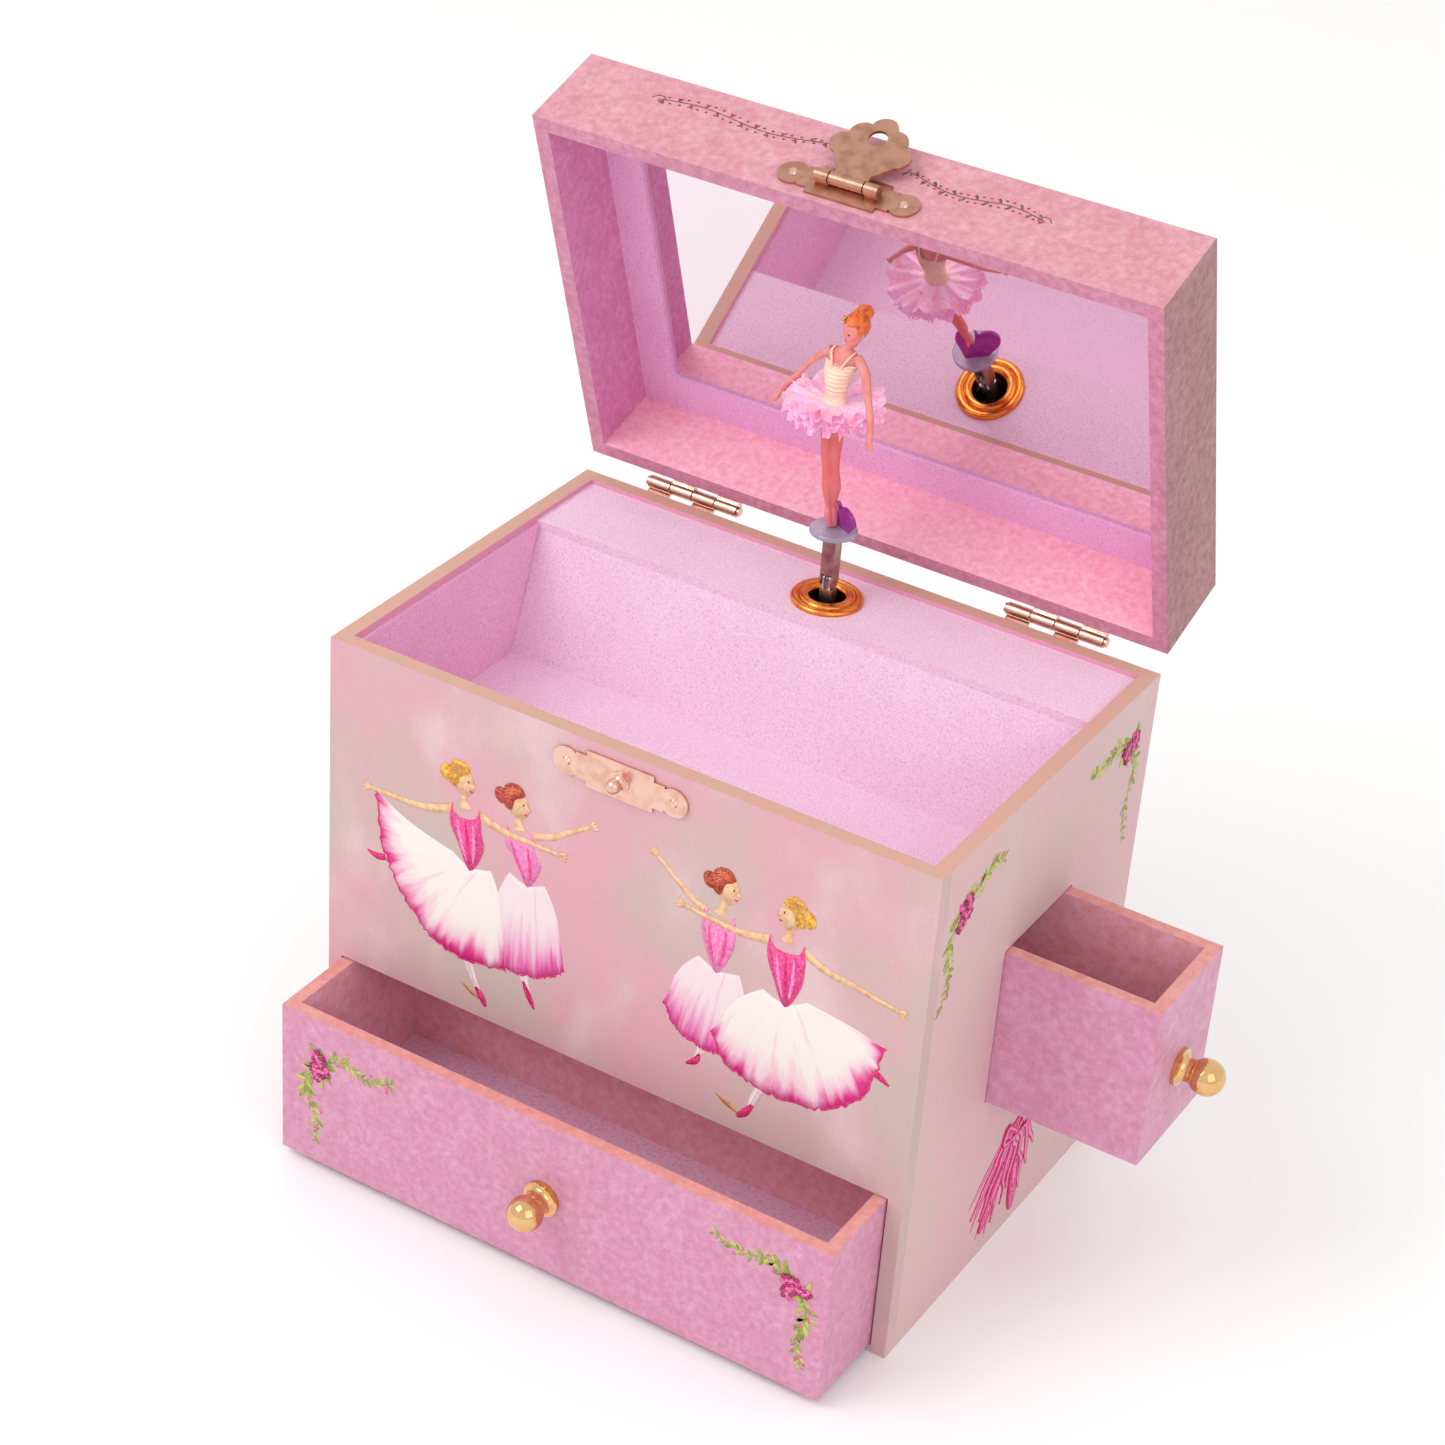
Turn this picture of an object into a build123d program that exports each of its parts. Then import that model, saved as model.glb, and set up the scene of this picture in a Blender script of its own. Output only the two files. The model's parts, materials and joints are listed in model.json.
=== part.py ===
from build123d import *
import os
from math import cos, pi, radians, sin

# Jewellery box with a tray, two drawers, a mirrored lid and a clockwork music movement.
# The movement turns a spindle that carries a folding ballerina, and the lid folds the ballerina down.
# Millimetres. The origin is the centre of the underside, +Z is up, -Y is the front, +X is the right.
# The lid stands open and both drawers stand part way out.

# ---------------------------------------------------------------- driving dimensions
body_w = 150.0            # outside width
body_d = 98.6             # outside depth
body_h = 125.2            # height of the body's rim
board = 3.6               # covered board of the outer walls
base_t = 1.9              # bottom panel

lid_h = 23.4              # height of the lid's walls and top together
lid_top_t = 2.4
lid_open = 71.5           # degrees from shut
rim_gap = 0.3             # between the two rims when shut
mirror_t = 1.5
mat_t = 1.1
mat_border = 9.2

shelf_z = 42.7            # underside of the shelf over the front drawer
shelf_t = 3.3
tray_z = 93.5             # tray floor's upper face
tray_t = 2.5
slope_foot_y = 13.4
slope_head_y = 23.1
slope_t = 2.0
platform_z = 124.1
platform_t = 2.2
liner_t = 0.9

hinge_back = 3.66         # hinge pin behind the back face
hinge_up = 0.64           # hinge pin above the body's rim
hinge_pin_r = 0.7
running_fit = 0.05        # radial play of a shaft in its bore

front_drawer_out = 22.0
side_drawer_out = 36.2
drawer_board = 3.0
drawer_play = 0.4

spindle_y = 33.7
fold_z = 129.3            # axis of the folding joint on the spindle

# ---------------------------------------------------------------- worked-out places
half_w = body_w / 2
half_d = body_d / 2
inner_w = body_w - 2 * board
inner_d = body_d - 2 * board
inner_y = inner_d / 2
lid_bottom = body_h + rim_gap
lid_top = lid_bottom + lid_h
lid_under_top = lid_top - lid_top_t
hinge_y = half_d + hinge_back
hinge_z = body_h + hinge_up
lid_swing = Pos(0, hinge_y, hinge_z) * Rot(-lid_open, 0, 0) * Pos(0, -hinge_y, -hinge_z)


def opened(plane):
    """A plane drawn on the shut lid, carried to where the open lid has it."""
    return Plane(lid_swing * plane.location)


def facing_front(y):
    """An upright plane at y: its local axes are +X and +Z, and it faces -Y."""
    return Plane.XZ.offset(-y)


def facing_right(x):
    """An upright plane at x: its local axes are +Y and +Z, and it faces +X."""
    return Plane.YZ.offset(x)


def level(z):
    return Plane.XY.offset(z)


def mean(a, b):
    return (a + b) / 2


def rect(low, high, mode=Mode.ADD):
    """Draw a rectangle between two corners in the open sketch."""
    with Locations((mean(low[0], high[0]), mean(low[1], high[1]))):
        Rectangle(high[0] - low[0], high[1] - low[1], mode=mode)


os.makedirs("parts", exist_ok=True)

# ---------------------------------------------------------------- body shell
side_bay_low = 47.4       # sliding surface of the side drawer
side_drawer_z0 = side_bay_low + drawer_play
side_drawer_z1 = 87.4
side_drawer_y0 = -14.0
side_drawer_y1 = 16.3
barrel_z = 88.0           # height of the movement's main axis
wall_nail_r = 0.45
nail_l = 2.6
hinge_x = 47.5            # middle of each hinge, left and right
hinge_l = 24.3
hinge_plate_low = 112.6
hinge_nail_x = 9.0
hinge_nail_z = (114.9, 119.6)
catch_z = 118.5
catch_nail_x = 13.2
back_screw_places = [(-12, 112), (-12, 66), (60, 70)]
back_screw_r = 1.2
key_hole_r = 4.0
stud_shank_r = 0.9

front_face = facing_front(-half_d)
back_face_out = Plane(origin=(0, half_d, 0), x_dir=(-1, 0, 0), z_dir=(0, 1, 0))
catch_nail_places = [(-catch_nail_x, catch_z), (catch_nail_x, catch_z)]
hinge_nail_columns = [side * hinge_x + dx for side in (-1, 1) for dx in (-hinge_nail_x, hinge_nail_x)]
hinge_nail_places = [(x, z) for x in hinge_nail_columns for z in hinge_nail_z]


def nail_holes(face, places):
    """Cut blind holes for nails into the open part. The plane is the board's outer face, facing out."""
    with BuildSketch(face.offset(-nail_l)) as holes:
        with Locations(*places):
            Circle(wall_nail_r)
    extrude(holes.sketch, amount=nail_l, mode=Mode.SUBTRACT)


with BuildPart() as bottom_panel:
    with BuildSketch(level(0)):
        Rectangle(body_w, body_d)
    extrude(amount=base_t)
bottom_panel.part.label = "bottom_panel"
export_step(bottom_panel.part, "parts/bottom_panel.step")

with BuildPart() as left_wall:
    with BuildSketch(facing_right(-half_w)):
        rect((-half_d, base_t), (half_d, body_h))
    extrude(amount=board)
left_wall.part.label = "left_wall"
export_step(left_wall.part, "parts/left_wall.step")

with BuildPart() as right_wall:
    with BuildSketch(facing_right(half_w)):
        rect((-half_d, base_t), (half_d, body_h))
    extrude(amount=-board)
    with BuildSketch(facing_right(half_w)):
        rect(
            (side_drawer_y0 - drawer_play, side_bay_low),
            (side_drawer_y1 + drawer_play, side_drawer_z1 + drawer_play),
        )
    extrude(amount=-board, mode=Mode.SUBTRACT)
right_wall.part.label = "right_wall"
export_step(right_wall.part, "parts/right_wall.step")

with BuildPart() as back_wall:
    with BuildSketch(facing_front(half_d)):
        rect((-inner_w / 2, base_t), (inner_w / 2, body_h))
        with Locations((0, barrel_z)):
            Circle(key_hole_r, mode=Mode.SUBTRACT)
        with Locations(*back_screw_places):
            Circle(back_screw_r + 0.2, mode=Mode.SUBTRACT)
    extrude(amount=board)
    nail_holes(back_face_out, hinge_nail_places)
back_wall.part.label = "back_wall"
export_step(back_wall.part, "parts/back_wall.step")

with BuildPart() as front_panel:
    with BuildSketch(front_face):
        rect((-inner_w / 2, shelf_z), (inner_w / 2, body_h))
        with Locations((0, catch_z)):
            Circle(stud_shank_r, mode=Mode.SUBTRACT)
    extrude(amount=-board)
    nail_holes(front_face, catch_nail_places)
front_panel.part.label = "front_panel"
export_step(front_panel.part, "parts/front_panel.step")

with BuildPart() as drawer_shelf:
    with BuildSketch(level(shelf_z)):
        Rectangle(inner_w, inner_d)
    extrude(amount=shelf_t)
drawer_shelf.part.label = "drawer_shelf"
export_step(drawer_shelf.part, "parts/drawer_shelf.step")

# An upright board under the shelf stops the front drawer when it is pushed home.
bay_board = 1.6
front_drawer_l = 49.3
stop_y = -half_d + front_drawer_l + drawer_play
with BuildPart() as front_drawer_stop:
    with BuildSketch(level(base_t)):
        rect((-inner_w / 2, stop_y), (inner_w / 2, stop_y + bay_board))
    extrude(amount=shelf_z - base_t)
front_drawer_stop.part.label = "front_drawer_stop"
export_step(front_drawer_stop.part, "parts/front_drawer_stop.step")

# The bay that the side drawer slides in: a raised floor, two side boards and an end board.
bay_end_x = 6.5
bay_y0 = side_drawer_y0 - drawer_play
bay_y1 = side_drawer_y1 + drawer_play
bay_top = tray_z - tray_t
with BuildPart() as side_drawer_bay:
    with BuildSketch(level(shelf_z + shelf_t)):
        rect((bay_end_x, bay_y0 - bay_board), (inner_w / 2, bay_y1 + bay_board))
    extrude(amount=side_bay_low - shelf_z - shelf_t)
    with BuildSketch(level(side_bay_low)):
        rect((bay_end_x, bay_y0 - bay_board), (inner_w / 2, bay_y0))
        rect((bay_end_x, bay_y1), (inner_w / 2, bay_y1 + bay_board))
        rect((bay_end_x, bay_y0), (bay_end_x + bay_board, bay_y1))
    extrude(amount=bay_top - side_bay_low)
side_drawer_bay.part.label = "side_drawer_bay"
export_step(side_drawer_bay.part, "parts/side_drawer_bay.step")

# ---------------------------------------------------------------- tray and platform
with BuildPart() as tray_floor:
    with BuildSketch(level(bay_top)):
        rect((-inner_w / 2, -inner_y), (inner_w / 2, slope_foot_y + slope_t))
    extrude(amount=tray_t)
tray_floor.part.label = "tray_floor"
export_step(tray_floor.part, "parts/tray_floor.step")

with BuildPart() as tray_slope:
    with BuildSketch(facing_right(-inner_w / 2)):
        with BuildLine():
            Polyline(
                (slope_foot_y, tray_z),
                (slope_foot_y + slope_t, tray_z),
                (slope_head_y + slope_t, platform_z - platform_t),
                (slope_head_y, platform_z - platform_t),
                close=True,
            )
        make_face()
    extrude(amount=inner_w)
tray_slope.part.label = "tray_slope"
export_step(tray_slope.part, "parts/tray_slope.step")

grommet_barrel_r = 5.0
grommet_hole_r = 4.05
with BuildPart() as platform:
    with BuildSketch(level(platform_z)):
        rect((-inner_w / 2, slope_head_y), (inner_w / 2, inner_y))
        with Locations((0, spindle_y)):
            Circle(grommet_barrel_r + 0.1, mode=Mode.SUBTRACT)
    extrude(amount=-platform_t)
platform.part.label = "platform"
export_step(platform.part, "parts/platform.step")

# Flocked card on the tray's left, right and front walls, cut to the slope at the back.
liner_top = body_h - 1.8
slope_run = (slope_head_y - slope_foot_y) / (platform_z - platform_t - tray_z)
liner_back_y = slope_foot_y + slope_run * (liner_top - tray_z)
with BuildPart() as tray_liner:
    for side in (-1, 1):
        with BuildSketch(facing_right(side * inner_w / 2)):
            with BuildLine():
                Polyline(
                    (-inner_y, tray_z),
                    (slope_foot_y, tray_z),
                    (min(liner_back_y, slope_head_y), liner_top),
                    (-inner_y, liner_top),
                    close=True,
                )
            make_face()
        extrude(amount=-side * liner_t)
    with BuildSketch(facing_front(-inner_y)):
        rect((-inner_w / 2 + liner_t, tray_z), (inner_w / 2 - liner_t, liner_top))
    extrude(amount=-liner_t)
tray_liner.part.label = "tray_liner"
export_step(tray_liner.part, "parts/tray_liner.step")

# The grommet is a pressed eyelet with a double roll on top and a flange under the platform.
grommet_r = 8.3
flange_r = 6.6
flange_t = 1.0
platform_under = platform_z - platform_t
with BuildPart() as grommet:
    with BuildSketch(Plane.XZ.offset(-spindle_y)):
        with BuildLine():
            Polyline(
                (grommet_hole_r, platform_under - flange_t),
                (flange_r, platform_under - flange_t),
                (flange_r, platform_under),
                (grommet_barrel_r, platform_under),
                (grommet_barrel_r, platform_z),
                (grommet_r, platform_z),
                (grommet_r, platform_z + 0.5),
            )
            ThreePointArc(
                (grommet_r, platform_z + 0.5),
                (grommet_r - 0.9, platform_z + 1.25),
                (grommet_r - 1.9, platform_z + 0.9),
            )
            ThreePointArc(
                (grommet_r - 1.9, platform_z + 0.9),
                (grommet_hole_r + 1.2, platform_z + 1.6),
                (grommet_hole_r, platform_z + 0.4),
            )
            Line((grommet_hole_r, platform_z + 0.4), (grommet_hole_r, platform_under - flange_t))
        make_face()
    revolve(axis=Axis((0, spindle_y, 0), (0, 0, 1)))
grommet.part.label = "grommet"
export_step(grommet.part, "parts/grommet.step")

# ---------------------------------------------------------------- catch on the body's front
plate_t = 0.6
plate_lobe_r = 3.4
plate_tall = (16.4, 8.8)
plate_wide = (21.8, 6.2)
nail_head_r = 1.05
nail_head_t = 0.45


def ornate_plate():
    """Add the outline that the catch plate and the hasp plate share to the open sketch."""
    Rectangle(*plate_tall)
    Rectangle(*plate_wide)
    with Locations((-catch_nail_x, 0), (catch_nail_x, 0)):
        Circle(plate_lobe_r)
        Circle(wall_nail_r, mode=Mode.SUBTRACT)


def nails(plane, places, under=plate_t):
    """Add small nails to the open part: a head on the plate and a shank through it into the board."""
    with BuildSketch(plane.offset(-nail_l)) as shanks:
        with Locations(*places):
            Circle(wall_nail_r)
    extrude(shanks.sketch, amount=nail_l + under)
    with BuildSketch(plane.offset(under)) as heads:
        with Locations(*places):
            Circle(nail_head_r)
    extrude(heads.sketch, amount=nail_head_t, taper=35)


with BuildPart() as catch_plate:
    with BuildSketch(front_face):
        with Locations((0, catch_z)):
            ornate_plate()
            Circle(stud_shank_r, mode=Mode.SUBTRACT)
    extrude(amount=plate_t)
catch_plate.part.label = "catch_plate"
export_step(catch_plate.part, "parts/catch_plate.step")

# The stud: a shank in the board, a flared foot on the plate, a neck, and a ball that the hasp drops over.
stud_r = 1.65
stud_foot_r = 2.4
stud_neck_r = 1.1
stud_l = 3.9
stud_base_y = -half_d - plate_t
stud_inner_y = -half_d + 3.0
ball_y = stud_base_y - stud_l + stud_r
neck_y = ball_y + (stud_r**2 - stud_neck_r**2) ** 0.5
with BuildPart() as catch_stud:
    with BuildSketch(level(catch_z)):
        with BuildLine():
            Polyline(
                (0, stud_inner_y),
                (stud_shank_r, stud_inner_y),
                (stud_shank_r, stud_base_y),
                (stud_foot_r, stud_base_y),
                (stud_foot_r, stud_base_y - 0.3),
            )
            ThreePointArc(
                (stud_foot_r, stud_base_y - 0.3),
                (mean(stud_foot_r, stud_neck_r) - 0.2, stud_base_y - 0.55),
                (stud_neck_r, neck_y),
            )
            ThreePointArc((stud_neck_r, neck_y), (stud_r, ball_y), (0, ball_y - stud_r))
            Line((0, ball_y - stud_r), (0, stud_inner_y))
        make_face()
    revolve(axis=Axis((0, 0, catch_z), (0, 1, 0)))
catch_stud.part.label = "catch_stud"
export_step(catch_stud.part, "parts/catch_stud.step")

leaf_t = 0.6
with BuildPart() as body_nails:
    nails(front_face, catch_nail_places)
    nails(back_face_out, hinge_nail_places, under=leaf_t)
body_nails.part.label = "body_nails"
export_step(body_nails.part, "parts/body_nails.step")

# ---------------------------------------------------------------- hinges
knuckle_r = 1.5
knuckle_gap = 0.35
knuckle_pitch = hinge_l / 4
knuckle_l = knuckle_pitch - knuckle_gap


def knuckle(plane_at, x, neck):
    """Add one knuckle, and the neck that joins it to its leaf, given by its corners. plane_at(x) faces +X."""
    with BuildSketch(plane_at(x)) as profile:
        with Locations((hinge_y, hinge_z)):
            Circle(knuckle_r)
        with BuildLine():
            Polyline(*neck, close=True)
        make_face()
    extrude(profile.sketch, amount=knuckle_l)


def knuckle_bore(plane_at, x):
    with BuildSketch(plane_at(x)) as bore:
        with Locations((hinge_y, hinge_z)):
            Circle(hinge_pin_r + running_fit)
    extrude(bore.sketch, amount=knuckle_l, mode=Mode.SUBTRACT)


def knuckle_starts(side, first):
    start = side * hinge_x - hinge_l / 2 + knuckle_gap / 2
    return [start + knuckle_pitch * index for index in range(first, 4, 2)]


neck_start = 3.0          # height of a leaf's inner end from the axis
neck_end = 4.2
body_neck = [
    (half_d, hinge_z - neck_start - 0.4),
    (half_d, hinge_z - neck_end),
    (half_d + leaf_t, hinge_z - neck_end),
    (hinge_y + 0.5, hinge_z - knuckle_r + 0.1),
    (hinge_y - 0.5, hinge_z - knuckle_r + 0.1),
]
with BuildPart() as hinge_body_leaves:
    for side in (-1, 1):
        with BuildSketch(back_face_out):
            rect(
                (side * hinge_x - hinge_l / 2, hinge_plate_low),
                (side * hinge_x + hinge_l / 2, hinge_z - neck_start),
            )
        extrude(amount=leaf_t)
        for x in knuckle_starts(side, 0):
            knuckle(facing_right, x, body_neck)
        for x in knuckle_starts(side, 0):
            knuckle_bore(facing_right, x)
    with BuildSketch(back_face_out):
        with Locations(*hinge_nail_places):
            Circle(wall_nail_r)
    extrude(amount=leaf_t, mode=Mode.SUBTRACT)
hinge_body_leaves.part.label = "hinge_body_leaves"
export_step(hinge_body_leaves.part, "parts/hinge_body_leaves.step")

pin_head_r = 1.1
pin_head_t = 0.5
with BuildPart() as hinge_pins:
    for side in (-1, 1):
        left_end = side * hinge_x - hinge_l / 2
        with BuildSketch(facing_right(left_end)):
            with Locations((hinge_y, hinge_z)):
                Circle(hinge_pin_r)
        extrude(amount=hinge_l)
        with BuildSketch(facing_right(left_end), facing_right(left_end + hinge_l + pin_head_t)):
            with Locations((hinge_y, hinge_z)):
                Circle(pin_head_r)
        extrude(amount=-pin_head_t)
hinge_pins.part.label = "hinge_pins"
export_step(hinge_pins.part, "parts/hinge_pins.step")


def lid_section(x):
    return opened(facing_right(x))


lid_back_out = opened(back_face_out)
lid_hinge_nail_z = (lid_bottom + 6.4, lid_bottom + 11.0)
lid_hinge_nail_places = [(x, z) for x in hinge_nail_columns for z in lid_hinge_nail_z]
lid_neck = [
    (half_d, hinge_z + neck_start),
    (half_d, hinge_z + neck_end),
    (half_d + leaf_t, hinge_z + neck_end),
    (hinge_y + 1.0, hinge_z + 1.1),
    (hinge_y - 1.0, hinge_z - 0.4),
]
with BuildPart() as hinge_lid_leaves:
    for side in (-1, 1):
        with BuildSketch(lid_back_out):
            rect(
                (side * hinge_x - hinge_l / 2, hinge_z + neck_start),
                (side * hinge_x + hinge_l / 2, lid_bottom + 13.0),
            )
        extrude(amount=leaf_t)
        for x in knuckle_starts(side, 1):
            knuckle(lid_section, x, lid_neck)
        for x in knuckle_starts(side, 1):
            knuckle_bore(lid_section, x)
    with BuildSketch(lid_back_out):
        with Locations(*lid_hinge_nail_places):
            Circle(wall_nail_r)
    extrude(amount=leaf_t, mode=Mode.SUBTRACT)
hinge_lid_leaves.part.label = "hinge_lid_leaves"
export_step(hinge_lid_leaves.part, "parts/hinge_lid_leaves.step")

# ---------------------------------------------------------------- lid shell
hasp_z = lid_bottom + 6.0          # hasp axis on the shut box
hasp_out = 2.0                     # hasp axis in front of the lid's front wall
hasp_y = -half_d - hasp_out
hasp_barrel_r = 1.4
hasp_pin_r = 0.6
lid_front_out = opened(front_face)
hasp_nail_places = [(-catch_nail_x, hasp_z), (catch_nail_x, hasp_z)]

with BuildPart() as lid_top_panel:
    with BuildSketch(opened(level(lid_under_top))):
        Rectangle(body_w, body_d)
    extrude(amount=lid_top_t)
lid_top_panel.part.label = "lid_top_panel"
export_step(lid_top_panel.part, "parts/lid_top_panel.step")

with BuildPart() as lid_front_wall:
    with BuildSketch(lid_front_out):
        rect((-half_w, lid_bottom), (half_w, lid_under_top))
    extrude(amount=-board)
    nail_holes(lid_front_out, hasp_nail_places)
lid_front_wall.part.label = "lid_front_wall"
export_step(lid_front_wall.part, "parts/lid_front_wall.step")

with BuildPart() as lid_back_wall:
    with BuildSketch(lid_back_out):
        rect((-half_w, lid_bottom), (half_w, lid_under_top))
    extrude(amount=-board)
    nail_holes(lid_back_out, lid_hinge_nail_places)
lid_back_wall.part.label = "lid_back_wall"
export_step(lid_back_wall.part, "parts/lid_back_wall.step")

with BuildPart() as lid_side_walls:
    with BuildSketch(opened(level(lid_bottom))):
        rect((-half_w, -inner_y), (-inner_w / 2, inner_y))
        rect((inner_w / 2, -inner_y), (half_w, inner_y))
    extrude(amount=lid_under_top - lid_bottom)
lid_side_walls.part.label = "lid_side_walls"
export_step(lid_side_walls.part, "parts/lid_side_walls.step")

with BuildPart() as mirror:
    with BuildSketch(opened(level(lid_under_top))):
        Rectangle(inner_w, inner_d)
    extrude(amount=-mirror_t)
mirror.part.label = "mirror"
export_step(mirror.part, "parts/mirror.step")

with BuildPart() as mirror_mat:
    with BuildSketch(opened(level(lid_under_top - mirror_t))):
        Rectangle(inner_w, inner_d)
        RectangleRounded(inner_w - 2 * mat_border, inner_d - 2 * mat_border, 1.0, mode=Mode.SUBTRACT)
    extrude(amount=-mat_t)
mirror_mat.part.label = "mirror_mat"
export_step(mirror_mat.part, "parts/mirror_mat.step")

# ---------------------------------------------------------------- hasp on the lid's front
hasp_knuckle = 4.0        # half the leaf's knuckle
hasp_end = 7.5            # half the whole barrel


def hasp_barrel(x_low, x_high, foot_y=hasp_y + 1.0):
    """Add a stretch of the hasp's barrel to the open part, with a foot that reaches back to foot_y."""
    with BuildSketch(lid_section(x_low)) as ring:
        rect((hasp_y, hasp_z - 0.8), (foot_y, hasp_z + 0.8))
        with Locations((hasp_y, hasp_z)):
            Circle(hasp_barrel_r)
            Circle(hasp_pin_r + running_fit, mode=Mode.SUBTRACT)
    extrude(ring.sketch, amount=x_high - x_low)


with BuildPart() as hasp_plate:
    with BuildSketch(lid_front_out):
        with Locations((0, hasp_z)):
            ornate_plate()
    extrude(amount=plate_t)
    hasp_barrel(-hasp_end, -hasp_knuckle - 0.3, -half_d)
    hasp_barrel(hasp_knuckle + 0.3, hasp_end, -half_d)
hasp_plate.part.label = "hasp_plate"
export_step(hasp_plate.part, "parts/hasp_plate.step")

with BuildPart() as hasp_pin:
    with BuildSketch(lid_section(-hasp_end)):
        with Locations((hasp_y, hasp_z)):
            Circle(hasp_pin_r)
    extrude(amount=2 * hasp_end)
hasp_pin.part.label = "hasp_pin"
export_step(hasp_pin.part, "parts/hasp_pin.step")

with BuildPart() as lid_nails:
    nails(lid_front_out, hasp_nail_places)
    nails(lid_back_out, lid_hinge_nail_places, under=leaf_t)
lid_nails.part.label = "lid_nails"
export_step(lid_nails.part, "parts/lid_nails.step")

# The leaf is a pierced scallop shell. It lies folded back, lifted off the lid by its stop.
hasp_lift = 8.0
hasp_leaf_t = 0.7
hasp_hole = hasp_z - catch_z       # from the axis to the middle of the hole
hasp_hole_r = 2.15
hasp_tip = 18.8
leaf_plane = Plane(lid_swing * Pos(0, hasp_y, hasp_z) * Rot(hasp_lift, 0, 0) * Plane.XZ.location)
with BuildPart() as hasp_leaf:
    hasp_barrel(-hasp_knuckle, hasp_knuckle)
    with BuildSketch(leaf_plane.offset(-hasp_leaf_t / 2)):
        with BuildLine():
            Polyline(
                (-hasp_knuckle, 1.0),
                (-hasp_knuckle, 3.0),
                (-8.4, 8.0),
                (-4.0, 13.5),
                (4.0, 13.5),
                (8.4, 8.0),
                (hasp_knuckle, 3.0),
                (hasp_knuckle, 1.0),
                close=True,
            )
        make_face()
        with Locations((-6.5, 9.6), (6.5, 9.6)):
            Circle(3.0)
        with Locations((-3.7, 13.2), (3.7, 13.2)):
            Circle(3.1)
        with Locations((0, hasp_tip - 3.1)):
            Circle(3.1)
        with Locations((0, hasp_hole)):
            Circle(hasp_hole_r, mode=Mode.SUBTRACT)
    extrude(amount=hasp_leaf_t)
hasp_leaf.part.label = "hasp_leaf"
export_step(hasp_leaf.part, "parts/hasp_leaf.step")

# ---------------------------------------------------------------- drawers
front_drawer_w = inner_w - 2 * drawer_play
front_drawer_y0 = -half_d - front_drawer_out
front_drawer_z0 = base_t + drawer_play
front_drawer_z1 = shelf_z - drawer_play
drawer_base_t = 1.8
drawer_liner_t = 0.8
front_base_t = 3.6
front_liner_t = 1.2
knob_l = 10.7
knob_neck_r = 2.7
knob_ball_r = 4.1
knob_ball_start = knob_l - knob_ball_r - (knob_ball_r**2 - knob_neck_r**2) ** 0.5
knob_screw_r = 1.2
knob_bore_l = 6.0
knob_foot_r = 4.3
front_knob_z = (front_drawer_z0 + front_drawer_z1) / 2
front_face_at = facing_front(front_drawer_y0)
front_drawer_hw = front_drawer_w / 2
front_drawer_y1 = front_drawer_y0 + front_drawer_l


def knob_profile():
    """Draw half a knob in the open sketch: +Y is along the knob, and the board's face is at 0."""
    with BuildLine() as profile:
        Polyline(
            (0, knob_bore_l),
            (knob_screw_r + running_fit, knob_bore_l),
            (knob_screw_r + running_fit, 0),
            (knob_foot_r, 0),
            (knob_foot_r, 1.0),
        )
        ThreePointArc((knob_foot_r, 1.0), (3.1, 1.5), (knob_neck_r, 2.6))
        Line((knob_neck_r, 2.6), (knob_neck_r, knob_ball_start))
        ThreePointArc((knob_neck_r, knob_ball_start), (knob_ball_r, knob_l - knob_ball_r), (0, knob_l))
        Line((0, knob_l), (0, knob_bore_l))
    make_face(profile.edges())


def knob_screw(plane, board_t):
    """Add a round-headed screw to the open part. The plane is the board's outer face, facing the knob."""
    with BuildSketch(plane.offset(-board_t)) as shank:
        Circle(knob_screw_r)
    extrude(shank.sketch, amount=board_t + knob_bore_l - 0.5)
    with BuildSketch(plane.offset(-board_t)) as head:
        Circle(2.6)
    extrude(head.sketch, amount=-1.3, taper=25)


with BuildPart() as front_drawer_front:
    with BuildSketch(front_face_at):
        rect((-front_drawer_hw, front_drawer_z0), (front_drawer_hw, front_drawer_z1))
        with Locations((0, front_knob_z)):
            Circle(knob_screw_r + 0.1, mode=Mode.SUBTRACT)
    extrude(amount=-drawer_board)
front_drawer_front.part.label = "front_drawer_front"
export_step(front_drawer_front.part, "parts/front_drawer_front.step")

with BuildPart() as front_drawer_walls:
    with BuildSketch(level(front_drawer_z0 + front_base_t)):
        rect((-front_drawer_hw, front_drawer_y0 + drawer_board), (front_drawer_hw, front_drawer_y1))
        rect(
            (-front_drawer_hw + drawer_board, front_drawer_y0 + drawer_board),
            (front_drawer_hw - drawer_board, front_drawer_y1 - drawer_board),
            mode=Mode.SUBTRACT,
        )
    extrude(amount=front_drawer_z1 - front_drawer_z0 - front_base_t)
front_drawer_walls.part.label = "front_drawer_walls"
export_step(front_drawer_walls.part, "parts/front_drawer_walls.step")

with BuildPart() as front_drawer_base:
    with BuildSketch(level(front_drawer_z0)):
        rect((-front_drawer_hw, front_drawer_y0 + drawer_board), (front_drawer_hw, front_drawer_y1))
    extrude(amount=front_base_t)
front_drawer_base.part.label = "front_drawer_base"
export_step(front_drawer_base.part, "parts/front_drawer_base.step")

with BuildPart() as front_drawer_liner:
    with BuildSketch(level(front_drawer_z0 + front_base_t)):
        rect(
            (-front_drawer_hw + drawer_board, front_drawer_y0 + drawer_board),
            (front_drawer_hw - drawer_board, front_drawer_y1 - drawer_board),
        )
    extrude(amount=front_liner_t)
front_drawer_liner.part.label = "front_drawer_liner"
export_step(front_drawer_liner.part, "parts/front_drawer_liner.step")

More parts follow.
